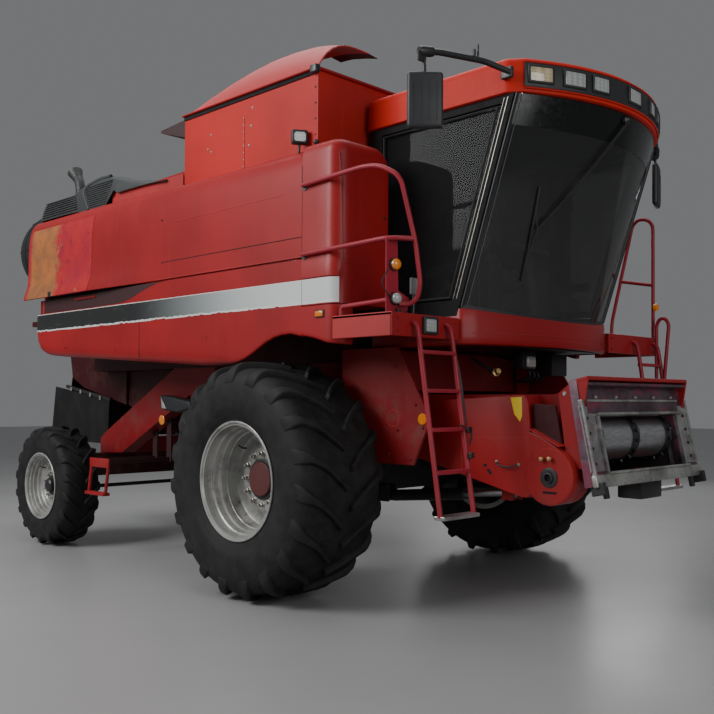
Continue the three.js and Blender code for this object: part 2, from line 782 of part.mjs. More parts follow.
function feeder() {
  const back = PLATE.t + GAP;
  const outer = [
    behindPlate(25, back),
    behindPlate(PLATE_H - 50, back),
    [-1900, 1500],
    [-560, 1500],
    [-390, 1380],
    [-390, 1120],
    [-560, 1030],
    [-1900, 850],
  ];
  const inner = [
    behindPlate(60, back - 5),
    behindPlate(PLATE_H - 90, back - 5),
    [-1900, 1500 - FEEDER.wall],
    [-560, 1500 - FEEDER.wall],
    [-380, 1420],
    [-380, 1060],
    [-560, 1030 + FEEDER.wall],
    [-1900, 850 + FEEDER.wall],
  ];
  const duct = cut(
    alongX(outer, -FEEDER.half, FEEDER.half),
    alongX(inner, -FEEDER.half + FEEDER.wall, FEEDER.half - FEEDER.wall),
  );
  const pivotReach = RAIL.in - GAP;
  const pivots = SIDES.map(([, s]) =>
    bar(
      [s * (FEEDER.half - 5), FEEDER.pivotY, FEEDER.pivotZ],
      [s * pivotReach, FEEDER.pivotY, FEEDER.pivotZ],
      55,
      16,
    ),
  );
  const shield = alongX(
    [
      [-790, 1050],
      [-830, 1445],
      [-1814, 1498],
      [-1879, 856],
      [-1839, 813],
    ],
    -735,
    -FEEDER.half + 5,
  );
  const caseR = 190;
  const chainCase = join(
    disc("x", caseR, -750, -FEEDER.half + 5, 0, -2010, 964, 24),
    alongX(
      [
        [-1870, 1250],
        [-1990, 1200],
        [-2150, 1090],
        [-2010, 964],
        [-1860, 850],
      ],
      -735,
      -FEEDER.half + 5,
    ),
  );
  const arm = (x0, x1) =>
    alongX(
      [
        behindPlate(120, back),
        behindPlate(PLATE_H - 20, back),
        behindPlate(PLATE_H - 60, back + 90),
        behindPlate(150, back + 130),
      ],
      x0,
      x1,
    );
  const lugTop = 900;
  const lugs = SIDES.flatMap(([, s]) =>
    ears(s * LIFT.x, LIFT.feederY - 50, LIFT.feederY + 50, LIFT.feederZ - 50, lugTop + 30),
  );
  node(
    "feeder_house",
    join(
      duct,
      pivots,
      shield,
      chainCase,
      arm(-690, -FEEDER.half + 5),
      arm(FEEDER.half - 5, 690),
      lugs,
    ),
    RED,
  );

  const plate = leaning(
    [
      [-PLATE.lowHalf, 0],
      [PLATE.lowHalf, 0],
      [PLATE.topHalf, PLATE_H],
      [-PLATE.topHalf, PLATE_H],
    ],
    0,
    PLATE.t,
  );
  const mouth = leaning(
    [
      [-MOUTH.half + 20, MOUTH.low],
      [MOUTH.half - 20, MOUTH.low],
      [MOUTH.half - 20, MOUTH.high],
      [-MOUTH.half + 20, MOUTH.high],
    ],
    -50,
    PLATE.t + 50,
  );
  node("feeder_faceplate", cut(plate, mouth), STEEL);
}

// Drums and the three chains with their slats, fixed where they stand.
function conveyor() {
  const strandR = 18;
  const turn = Math.atan2(DRUM.rearZ - DRUM.z, DRUM.rearY - DRUM.y);
  const run = Math.hypot(DRUM.rearZ - DRUM.z, DRUM.rearY - DRUM.y);
  const outline = (grow) => {
    const a = DRUM.r + grow;
    const b = DRUM.rearR + grow;
    const open = Math.asin((a - b) / run);
    const points = [];
    const steps = 6;
    for (let i = 0; i <= steps; i++) {
      const t = turn + Math.PI / 2 - open + ((Math.PI + 2 * open) * i) / steps;
      points.push([DRUM.y + a * Math.cos(t), DRUM.z + a * Math.sin(t)]);
    }
    for (let i = 0; i <= steps; i++) {
      const t = turn - Math.PI / 2 + open + ((Math.PI - 2 * open) * i) / steps;
      points.push([DRUM.rearY + b * Math.cos(t), DRUM.rearZ + b * Math.sin(t)]);
    }
    return points;
  };
  const chain = (x) =>
    cut(alongX(outline(strandR), x - 20, x + 20), alongX(outline(-4), x - 21, x + 21));
  const chains = [-475, 0, 475].map(chain);
  const slats = [];
  for (let i = 1; i <= 5; i++) {
    const f = i / 6;
    for (const way of [1, -1]) {
      const r = (DRUM.r + (DRUM.rearR - DRUM.r) * f + strandR) * way;
      const y = DRUM.y + (DRUM.rearY - DRUM.y) * f;
      const z = DRUM.z + (DRUM.rearZ - DRUM.z) * f;
      slats.push(block(-495, 495, y - 25, y + 25, z + r - 9 * way, z + r + 14 * way));
    }
  }
  const shaftEnd = FEEDER.half - FEEDER.wall - GAP;
  node(
    "feeder_conveyor",
    join(
      bar([-450, DRUM.y, DRUM.z], [450, DRUM.y, DRUM.z], DRUM.r, 20),
      bar([-shaftEnd, DRUM.y, DRUM.z], [shaftEnd, DRUM.y, DRUM.z], 35),
      bar([-490, DRUM.rearY, DRUM.rearZ], [490, DRUM.rearY, DRUM.rearZ], DRUM.rearR, 12),
      bar([-shaftEnd, DRUM.rearY, DRUM.rearZ], [shaftEnd, DRUM.rearY, DRUM.rearZ], 30),
      chains,
      slats,
    ),
    STEEL,
  );
}

// Lift cylinders: barrel pinned on the axle, rod ending in an eye between the feeder's ears.
function liftCylinders() {
  const from = new THREE.Vector2(LIFT.axleY, LIFT.axleZ);
  const to = new THREE.Vector2(LIFT.feederY, LIFT.feederZ);
  const along = to.clone().sub(from).normalize();
  const at = (x, d) => [x, from.x + along.x * d, from.y + along.y * d];
  const full = from.distanceTo(to);
  const x = LIFT.x;
  const barrelEnd = 790;
  const eyeHalf = EYE_W / 2 - GAP;
  const eye = (d, r) => {
    const [, y, z] = at(x, d);
    return bar([x - eyeHalf, y, z], [x + eyeHalf, y, z], r, 16);
  };
  const [, y0, z0] = at(x, 0);
  const barrel = cut(
    join(bar(at(x, 62), at(x, barrelEnd), LIFT.barrelR, 16), bar(at(x, 20), at(x, 70), 30, 16), eye(0, 42)),
    bar(at(x, 110), at(x, barrelEnd + 5), LIFT.rodR + 2, 16),
    bar([x - 50, y0, z0], [x + 50, y0, z0], 23, 16),
  );
  const rod = join(
    bar(at(x, 470), at(x, full - 20), LIFT.rodR, 16),
    bar(at(x, 470), at(x, 500), LIFT.rodR + 1.7, 16),
    eye(full, 42),
  );
  for (const [word, side] of SIDES) {
    node("lift_barrel_" + word, barrel, BLACK, side);
    node("lift_rod_" + word, rod, STEEL, side);
  }
}

// ---- cab ---------------------------------------------------------------------------------------------
const leanAt = (z) => CAB.front - (CAB.lean * (z - CAB.sill)) / (CAB.top - CAB.sill);

// Plan of the cab at its sill: straight sides and a bowed front.
function cabPlan(grow, front, sag) {
  const half = CAB.half + grow;
  const points = [[-half, CAB.rear + grow], [-half, front - grow]];
  const steps = 8;
  for (let i = 1; i < steps; i++) {
    const u = (2 * i) / steps - 1;
    points.push([u * half, front - grow - sag * (1 - u * u)]);
  }
  points.push([half, front - grow], [half, CAB.rear + grow]);
  return points.reverse();
}

function cab() {
  const low = CAB.floor + GAP;
  node(
    "cab_base",
    cut(
      upright(cabPlan(0, CAB.front - 30, WINDSHIELD.sag), low, CAB.sill - WINDSHIELD.dip),
      upright(cabPlan(-CAB.wall, CAB.front - 30, WINDSHIELD.sag), low + 50, CAB.sill + 5),
    ),
    RED,
  );
  const sill = CAB.sill - WINDSHIELD.dip + GAP;
  const t = CAB.wall;
  const shell = alongX(
    [
      [CAB.rear, sill],
      [leanAt(sill), sill],
      [leanAt(CAB.top), CAB.top],
      [CAB.rear, CAB.top],
    ],
    -CAB.half,
    CAB.half,
  );
  const room = alongX(
    [
      [CAB.rear - t, sill - 5],
      [leanAt(sill - 5) - 50, sill - 5],
      [leanAt(CAB.top) - 50, CAB.top + 5],
      [CAB.rear - t, CAB.top + 5],
    ],
    -CAB.half + t,
    CAB.half - t,
  );
  const opening = (rear, grow) => [
    [rear - grow, WINDOW_SILL + grow],
    [leanAt(WINDOW_SILL + grow) + 80 + grow, WINDOW_SILL + grow],
    [leanAt(WINDOW_HEAD - grow) + 80 + grow, WINDOW_HEAD - grow],
    [rear - grow, WINDOW_HEAD - grow],
  ];
  const windowRear = CAB.rear - 130;
  const rightHole = alongX(opening(windowRear, 0), -CAB.half - 5, -CAB.half + t + 5);
  const doorHole = alongX(opening(DOOR_REAR, 0), CAB.half - t - 5, CAB.half + 5);
  const rearHole = block(-700, 700, CAB.rear - t - 5, CAB.rear + 5, 2500, 3350);
  const shelf = block(-CAB.half, CAB.half, CAB.rear, CAB.rear - 60, CAB.top - 45, CAB.top);
  // Door hinges: one leaf on the jamb under one on the door.
  const hingeLeaf = (z, y0, y1) => [
    disc("z", DOOR_HINGE.r, z, z + DOOR_HINGE.tall, DOOR_HINGE.x, DOOR_HINGE.y, 0, 10),
    block(CAB.half - 10, DOOR_HINGE.x, y0, y1, z, z + DOOR_HINGE.tall),
  ];
  const jambLeaves = DOOR_HINGE.z.flatMap((z) => hingeLeaf(z, DOOR_HINGE.y, DOOR_REAR + 30));
  node("cab_frame", join(cut(shell, room, rightHole, doorHole, rearHole), shelf, jambLeaves), BLACK);

  node(
    "cab_window_right",
    alongX(opening(windowRear, GAP), -CAB.half + 20, -CAB.half + 28),
    GLASS,
  );
  const frameW = 45;
  const inner = opening(DOOR_REAR, WINDOW_REVEAL + frameW);
  node(
    "cab_door",
    join(
      cut(
        alongX(opening(DOOR_REAR, WINDOW_REVEAL), CAB.half - 40, CAB.half - GAP),
        alongX(inner, CAB.half - 45, CAB.half + 5),
      ),
      DOOR_HINGE.z.flatMap((z) => hingeLeaf(z + DOOR_HINGE.tall + GAP, DOOR_REAR - 40, DOOR_HINGE.y)),
    ),
    BLACK,
  );
  node(
    "cab_door_glass",
    alongX(opening(DOOR_REAR, WINDOW_REVEAL + frameW + GAP), CAB.half - 24, CAB.half - 16),
    GLASS,
  );
  const glassLow = CAB.sill + 5;
  const glassTop = CAB.top - 5;
  const at = (u, v) => {
    const across = 2 * u - 1;
    const bow = 1 - across * across;
    const base = glassLow - WINDSHIELD.dip * bow * 0.9;
    const z = base + (glassTop - base) * v;
    return [
      across * (CAB.half - 4),
      leanAt(z) - WINDSHIELD.t - 2 * GAP - (WINDSHIELD.sag + 70 * v) * bow,
      z,
    ];
  };
  node("windshield", sheet(at, [0, WINDSHIELD.t, 0], 16, 6), GLASS);

  const roofFront = leanAt(CAB.top) - 10;
  node(
    "cab_roof",
    upright(
      cabPlan(30, roofFront, WINDSHIELD.sag + 80),
      CAB.top + GAP,
      CAB.top + ROOF_T,
      60,
    ),
    RED,
  );
}

function cabInside() {
  const floor = CAB.floor + GAP + 50 + GAP;
  node(
    "seat_base",
    join(
      block(-220, 220, -1080, -760, floor, floor + 60),
      block(-160, 160, -1040, -800, floor + 55, 2330),
      block(-250, 250, -1120, -700, 2325, 2370),
      block(-430, -300, -1250, -700, 2480, 2560),
      block(-345, -245, -960, -760, 2330, 2500),
    ),
    BLACK,
  );
  node(
    "seat_cushion",
    join(
      block(-240, 240, -1150, -690, 2370 + GAP, 2490),
      alongX(
        [
          [-800, 2450],
          [-700, 3000],
          [-600, 3000],
          [-690, 2400],
          [-780, 2380],
        ],
        -230,
        230,
      ),
    ),
    CLOTH,
  );
  node(
    "steering_column",
    join(
      bar([0, -1398, floor + 25], [0, -1290, 2560], 45, 12),
      block(-110, 110, -1480, -1330, floor, floor + 60),
      solid(
        new THREE.TorusGeometry(190, 14, 6, 20).rotateX(0.35).translate(0, -1275, 2640),
      ),
      bar([0, -1290, 2550], [0, -1278, 2640], 40, 14),
      bar([-185, -1275, 2640], [185, -1275, 2640], 14, 8),
    ),
    BLACK,
  );
}

// ---- platforms ---------------------------------------------------------------------------------------
// A leaning ladder: two rails and evenly spaced rungs between them.
function ladder(x0, x1, top, foot, rungs) {
  const [ty, tz] = top;
  const [fy, fz] = foot;
  const pieces = [x0, x1].map((x) => bar([x, ty, tz], [x, fy, fz], 15, 6));
  for (let i = 0; i < rungs; i++) {
    const f = (i + 0.75) / (rungs - 0.25);
    const y = ty + (fy - ty) * f;
    const z = tz + (fz - tz) * f;
    pieces.push(block(x0 - 10, x1 + 10, y - 30, y + 30, z - 12, z + 12));
  }
  return pieces;
}

function deckBox(d, rear) {
  const side = CAB.half + GAP;
  return join(
    block(side, d.x, rear, d.front, d.top - 20, d.top),
    block(d.x - 20, d.x, rear, d.front, d.low, d.top - 10),
    block(side, d.x, d.front + 20, d.front, d.low, d.top - 10),
    block(side, side + 20, rear, d.front, d.low, d.top - 10),
  );
}

function platforms() {
  const rear = SKIRT_FRONT - MOVE_GAP;
  const x = BODY_HALF + 26;
  const low = DECK_RIGHT.top - 10;
  node(
    "platform_right",
    join(
      deckBox(DECK_RIGHT, rear),
      ladder(1080, 1410, [DECK_RIGHT.front - 10, 1930], [-1650, 720], 5),
      tube(
        [
          [x, RAIL_START, 2970],
          [x, -1110, 2995],
          [x - 20, -1250, 2985],
          [x - 56, -1400, 2895],
          [x - 156, -1440, 2480],
          [x - 196, -1450, 2160],
          [x - 196, DECK_RIGHT.front + 5, 1990],
        ],
        RAIL_R,
      ),
      tube(
        [
          [x, RAIL_START, 2480],
          [x, -1300, 2500],
          [x - 156, -1440, 2500],
        ],
        RAIL_R,
      ),
      [2970, 2480].map((z) => bar([x, RAIL_START, z], [BODY_HALF + GAP, RAIL_START, z], RAIL_R, 8)),
      tube(
        [
          [x - 26, -880, low],
          [x - 26, -880, 2085],
          [x - 26, -1325, 2105],
        ],
        RAIL_R,
      ),
      block(x - 96, x + 4, -1338, -1326, low, 2500),
    ),
    RED,
    -1,
  );
  const lx = DECK_LEFT.x + 10;
  node(
    "platform_left",
    join(
      deckBox(DECK_LEFT, rear),
      ladder(1320, 1680, [DECK_LEFT.front - 10, 1930], [-1700, 720], 5),
      tube(
        [
          [lx, -1010, 1960],
          [lx, -1010, 2180],
          [lx, -1230, 3090],
          [lx, -1330, 3120],
          [lx, -1430, 3060],
          [lx, -1430, 1960],
        ],
        RAIL_R,
      ),
      bar([lx, -1105, 2560], [lx, -1430, 2500], RAIL_R, 6),
      tube(
        [
          [1680, -1500, 1620],
          [1680, -1500, 2150],
          [1680, -1560, 2200],
          [1680, -1620, 2150],
          [1680, -1560, 1500],
        ],
        RAIL_R,
      ),
    ),
    RED,
  );
}

// Mirror heads stand on the line between two corners of their plan, and hang from an arm on the roof.
const MIRRORS = {
  right: {
    plan: [[1524, -1760], [1678, -1600]],
    z: [3120, 3470],
    arm: [[1160, -1780, 3630], [1484, -1700, 3625], [1590, -1672, 3610], [1600, -1680, 3420]],
  },
  left: {
    plan: [[1150, -1740], [1350, -1660]],
    z: [3090, 3440],
    arm: [[1240, -1730, 3600], [1290, -1700, 3560], [1260, -1696, 3400]],
  },
};
const MIRROR_T = 50;

function mirrors() {
  const root = { x: CAB.half + 48, y: -1800, z: CAB.top + 100 };
  for (const [word, side] of SIDES) {
    const { plan, z, arm } = MIRRORS[word];
    const [[x0, y0], [x1, y1]] = plan;
    const width = Math.hypot(x1 - x0, y1 - y0);
    const nx = ((y1 - y0) / width) * MIRROR_T;
    const ny = (-(x1 - x0) / width) * MIRROR_T;
    const head = upright([[x0 + nx, y0 + ny], [x1 + nx, y1 + ny], [x1, y1], [x0, y0]], z[0], z[1], 8);
    const foot = block(
      CAB.half + 30 + GAP,
      CAB.half + 50,
      root.y - 40,
      root.y + 40,
      root.z - 40,
      root.z + 40,
    );
    node("mirror_" + word, join(tube([[root.x, root.y, root.z], ...arm], 14), head, foot), BLACK, side);
  }
}

// ---- unloading auger ---------------------------------------------------------------------------------
function auger() {
  const base = LOCKER_TOP + GAP;
  const top = AUGER.z - AUGER.elbowR;
  node("auger_turret", disc("z", 165, base, top, AUGER.x, AUGER.y, 0, 28), RED);
  const end = AUGER.y + AUGER.length;
  node(
    "unloading_auger",
    join(
      disc("z", AUGER.elbowR - 10, top + GAP, AUGER.z, AUGER.x, AUGER.y, 0, 28),
      solid(new THREE.SphereGeometry(AUGER.elbowR - 10, 24, 12).translate(AUGER.x, AUGER.y, AUGER.z)),
      disc("y", AUGER.r, 0, AUGER.length, AUGER.x, AUGER.y, AUGER.z, 24),
      tube(
        [
          [AUGER.x, end - 120, AUGER.z],
          [AUGER.x, end - 20, AUGER.z - 60],
          [AUGER.x, end, AUGER.z - 330],
        ],
        AUGER.r - 5,
        16,
      ),
    ),
    RED,
  );
}

wheels();
frontAxle();
rearAxle();
steering();
mainFrame();
separator();
upperPanels();
sideShields();
corners();
grainTank();
lids();
engineBay();
rotaryScreen();
rear();
feeder();
conveyor();
liftCylinders();
cab();
cabInside();
platforms();
mirrors();
auger();

// The machine's frame is moved so that the origin is under the middle of the whole length.
const box = new THREE.Box3().setFromObject(machine);
machine.position.y = -(box.min.y + box.max.y) / 2;

const harvester = new THREE.Group();
harvester.add(machine);

export default harvester;
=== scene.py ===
"""A combine harvester without its header: paint, glass, tyres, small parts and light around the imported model.

The frame's X runs to the machine's left, -Y to its front and Z up, all in metres. Places along Y are given
from the front axle, and every driving place is read from the frame's own boxes.
"""

import json
from math import atan2, copysign, cos, degrees, radians, sin, sqrt, tau

import bmesh
import bpy
from mathutils import Matrix, Vector

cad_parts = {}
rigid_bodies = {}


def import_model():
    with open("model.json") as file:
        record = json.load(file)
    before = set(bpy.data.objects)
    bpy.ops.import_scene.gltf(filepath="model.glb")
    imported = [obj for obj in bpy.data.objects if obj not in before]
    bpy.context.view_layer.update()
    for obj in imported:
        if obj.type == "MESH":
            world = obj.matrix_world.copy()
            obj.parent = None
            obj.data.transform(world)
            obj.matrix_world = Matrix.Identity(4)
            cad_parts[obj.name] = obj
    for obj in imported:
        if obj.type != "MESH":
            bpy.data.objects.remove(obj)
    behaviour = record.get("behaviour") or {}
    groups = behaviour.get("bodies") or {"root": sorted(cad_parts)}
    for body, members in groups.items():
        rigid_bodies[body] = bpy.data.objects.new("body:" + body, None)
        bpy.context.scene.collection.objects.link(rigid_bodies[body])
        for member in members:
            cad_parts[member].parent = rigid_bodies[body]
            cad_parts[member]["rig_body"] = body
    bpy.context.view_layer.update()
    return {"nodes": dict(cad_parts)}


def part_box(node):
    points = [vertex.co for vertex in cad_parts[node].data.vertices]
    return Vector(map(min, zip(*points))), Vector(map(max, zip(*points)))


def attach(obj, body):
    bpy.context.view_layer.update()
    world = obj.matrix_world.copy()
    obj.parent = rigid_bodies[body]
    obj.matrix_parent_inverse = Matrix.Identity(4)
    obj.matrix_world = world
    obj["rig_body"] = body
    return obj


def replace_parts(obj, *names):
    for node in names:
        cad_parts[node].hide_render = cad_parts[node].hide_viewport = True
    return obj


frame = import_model()

# ---- places read from the frame ----
LEFT, RIGHT = 1, -1
SIDES = (("left", LEFT), ("right", RIGHT))


def middle(node):
    low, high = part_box(node)
    return (low + high) / 2


AXLE_Y = middle("front_tyre_right").y


def by(x, y, z):
    """A step, a direction, or a place in the frame."""
    return Vector((x, y, z))


def at(x, y, z):
    """A place given from the ground under the front axle."""
    return by(x, AXLE_Y + y, z)


def where(place):
    """A place in the frame: a vector is one already, and three numbers are given from the front axle."""
    return place if isinstance(place, Vector) else at(*place)


TINY = 1e-6


# ---- modelling helpers ----
def settle(piece):
    """Puts a piece's place into its mesh, so that its object sits at the origin, unturned."""
    piece.data.transform(piece.matrix_basis)
    piece.matrix_basis = Matrix.Identity(4)
    return piece


def only(piece):
    """Selects one piece and nothing else."""
    bpy.ops.object.select_all(action="DESELECT")
    piece.select_set(True)
    bpy.context.view_layer.objects.active = piece
    return piece


class editing:
    """Edit mode on one piece, with nothing or all of it selected at first; picks parts by a rule."""

    def __init__(self, piece, kind="FACE", first="DESELECT"):
        self.piece, self.kind, self.first = piece, kind, first

    def __enter__(self):
        only(self.piece)
        bpy.ops.object.mode_set(mode="EDIT")
        bpy.ops.mesh.select_mode(type=self.kind)
        bpy.ops.mesh.select_all(action=self.first)
        return self

    def pick(self, rule):
        cage = bmesh.from_edit_mesh(self.piece.data)
        for part in {"FACE": cage.faces, "EDGE": cage.edges, "VERT": cage.verts}[self.kind]:
            part.select_set(bool(rule(part)))
        cage.select_flush_mode()
        bmesh.update_edit_mesh(self.piece.data)
        return self

    def __exit__(self, *_):
        bpy.ops.object.mode_set(mode="OBJECT")


def pull(move):
    """Draws what is selected out along a vector."""
    bpy.ops.mesh.extrude_region_move(TRANSFORM_OT_translate={"value": move})


def worked(piece, kind, **settings):
    """Shapes a piece by a modifier, which is applied."""
    only(piece)
    tool = piece.modifiers.new(kind.title(), kind)
    for key, value in settings.items():
        setattr(tool, key, value)
    bpy.ops.object.modifier_apply(modifier=tool.name)
    return piece


def facing(direction, above=0.9):
    """A rule that picks the faces whose normal points along a direction."""
    way = Vector(direction).normalized()
    return lambda face: face.normal.dot(way) > above


def named(name):
    return renamed(bpy.context.object, name)


def box(name, low, high):
    """A cuboid between two opposite corners, ready to be shaped."""
    bpy.ops.object.select_all(action="DESELECT")
    low, high = (Vector(ends) for ends in zip(*(sorted(pair) for pair in zip(where(low), where(high)))))
    bpy.ops.mesh.primitive_cube_add(size=1, location=(low + high) / 2, scale=high - low)
    return settle(named(name))


def crate(name, low, high, round_by=0.004, steps=2):
    """A cuboid with rounded edges."""
    return rounded(box(name, low, high), round_by, steps)


def crates(name, ends, round_by=0.004, steps=2):
    """One piece of several crates, each given by its two corners."""
    return joined([crate("part", low, high, round_by, steps) for low, high in ends], name)


def lamp_case(name, low, high, round_by, edge, deep):
    """A lamp's case with its front face let in."""
    case = crate(name, low, high, round_by, 3)
    with editing(case) as cage:
        cage.pick(facing((0, -1, 0), 0.95))
        bpy.ops.mesh.inset(thickness=edge)
        pull((0, deep, 0))
    return case


def rounded(piece, width, steps=2, angle=30):
    return worked(piece, "BEVEL", width=width, segments=steps, limit_method="ANGLE", angle_limit=radians(angle),
        use_clamp_overlap=True)


def smooth(piece, angle=35):
    only(piece)
    bpy.ops.object.shade_smooth_by_angle(angle=radians(angle))
    return piece


def face_out(piece):
    """Merges doubled points and turns every face outwards."""
    with editing(piece, "VERT", "SELECT"):
        bpy.ops.mesh.remove_doubles(threshold=1e-5)
        bpy.ops.mesh.normals_make_consistent(inside=False)
    return piece


def polyline(name, points):
    """An open chain of edges, drawn by extruding one point from place to place."""
    points = [where(point) for point in points]
    bpy.ops.object.select_all(action="DESELECT")
    bpy.ops.mesh.primitive_plane_add(size=0.01, location=points[0])
    piece = settle(named(name))
    with editing(piece, "VERT", "SELECT"):
        bpy.ops.mesh.merge(type="CENTER")
        for here, there in zip(points, points[1:]):
            pull(there - here)
    return piece


def outlined(name, points, depth, round_by=0.0, steps=2):
    """A flat outline filled and drawn out along a vector into a closed plate."""
    piece = polyline(name, list(points))
    with editing(piece, "VERT", "SELECT"):
        bpy.ops.mesh.edge_face_add()
        bpy.ops.mesh.select_mode(type="FACE")
        bpy.ops.mesh.select_all(action="SELECT")
        pull(Vector(depth))
    face_out(piece)
    return rounded(piece, round_by, steps) if round_by else piece


def spun(name, profile, centre, axis, steps=48, turn=tau):
    """A profile of points turned about an axis through a centre."""
    piece = polyline(name, profile)
    with editing(piece, "VERT", "SELECT"):
        bpy.ops.mesh.spin(steps=steps, angle=turn, center=centre, axis=axis)
    return face_out(piece)


def drum(name, centre, axis, profile, sides=48, shut=True):
    """A turned solid: (radius, along) pairs about an axis; an open profile is carried in to the axis."""
    rows = [tuple(row) for row in profile]
    if shut and rows[0] != rows[-1]:
        rows = [(0, rows[0][1])] * (rows[0][0] > TINY) + rows + [(0, rows[-1][1])] * (rows[-1][0] > TINY)
    axis = Vector(axis).normalized()
    across = axis.orthogonal().normalized()
    centre = where(centre)
    return spun(name, [centre + across * r + axis * a for r, a in rows], centre, axis, sides)


def rod(name, points, radius, sides=4, bend=0.0, bend_steps=4):
    """A round bar or pipe along a chain of points, with its corners rounded to a bend radius."""
    piece = polyline(name, points)
    if bend and len(points) > 2:
        with editing(piece, "VERT"):
            cage = bmesh.from_edit_mesh(piece.data)
            for vert in cage.verts:
                vert.select_set(len(vert.link_edges) == 2)
            bmesh.update_edit_mesh(piece.data)
            bpy.ops.mesh.bevel(affect="VERTICES", offset=bend, segments=bend_steps, clamp_overlap=True)
    only(piece)
    bpy.ops.object.convert(target="CURVE")
    line = bpy.context.object
    line.data.bevel_depth = radius
    line.data.bevel_resolution = sides
    line.data.use_fill_caps = True
    bpy.ops.object.convert(target="MESH")
    return smooth(named(name), 40)


def renamed(piece, name):
    piece.name = name
    piece.data.name = name
    return piece


def twin_of(piece):
    """A copy with its own mesh."""
    twin = piece.copy()
    twin.data = piece.data.copy()
    bpy.context.collection.objects.link(twin)
    return twin


def flipped(piece):
    """Turns a piece over to the machine's other side."""
    piece.data.transform(Matrix.Scale(-1, 4, (1, 0, 0)))
    piece.data.flip_normals()
    return piece


def copied(piece, moves, name=None):
    """One joined piece made of copies of a model, each with its own mesh, moved by the given matrices."""
    made = [twin_of(piece) for _ in moves]
    for twin, move in zip(made, moves):
        twin.data.transform(move)
    bpy.data.objects.remove(piece)
    return joined(made, name)


def joined(pieces, name=None):
    bpy.ops.object.select_all(action="DESELECT")
    for piece in pieces:
        piece.select_set(True)
    bpy.context.view_layer.objects.active = pieces[0]
    if len(pieces) > 1:
        bpy.ops.object.join()
    whole = bpy.context.object
    return renamed(whole, name) if name else whole


def shift(x, y, z):
    return Matrix.Translation((x, y, z))


def turn(angle, axis, centre):
    """A turn about an axis through a point, in degrees."""
    about = Matrix.Translation(centre)
    return about @ Matrix.Rotation(radians(angle), 4, axis) @ about.inverted()


def put(piece, finish, body="body"):
    """Paints a finished piece and fastens it to a body."""
    piece.data.materials.clear()
    piece.data.materials.append(finish)
    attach(piece, body)
    return piece


def paint(node, finish):
    """Gives a carried-over node its finish."""
    mesh = frame["nodes"][node].data
    mesh.materials.clear()
    mesh.materials.append(finish)


# ---- finishes ----
def operator(kind, reflected=False):
    """A method that adds a Math node to a wire and another wire or number."""

    def act(wire, other=0):
        ends = (other, wire) if reflected else (wire, other)
        return wire.finish.add("ShaderNodeMath", {"operation": kind}, ends)

    return act


class Wire:
    """A number carried by a socket; Python's operators on it add Math nodes."""

    def __init__(self, finish, socket):
        self.finish, self.socket = finish, socket

    __add__ = __radd__ = operator("ADD")
    __sub__, __rsub__ = operator("SUBTRACT"), operator("SUBTRACT", True)
    __mul__ = __rmul__ = operator("MULTIPLY")
    __truediv__ = operator("DIVIDE")
    __gt__, __lt__ = operator("GREATER_THAN"), operator("LESS_THAN")
    least, most, wave = operator("MINIMUM"), operator("MAXIMUM"), operator("SINE")

    def step(self, low, high):
        """0 below low, 1 above high, and a smooth rise between; low may be the higher one."""
        settings = {"interpolation_type": "SMOOTHSTEP"}
        return self.finish.add("ShaderNodeMapRange", settings, (self, low, high, 0.0, 1.0))


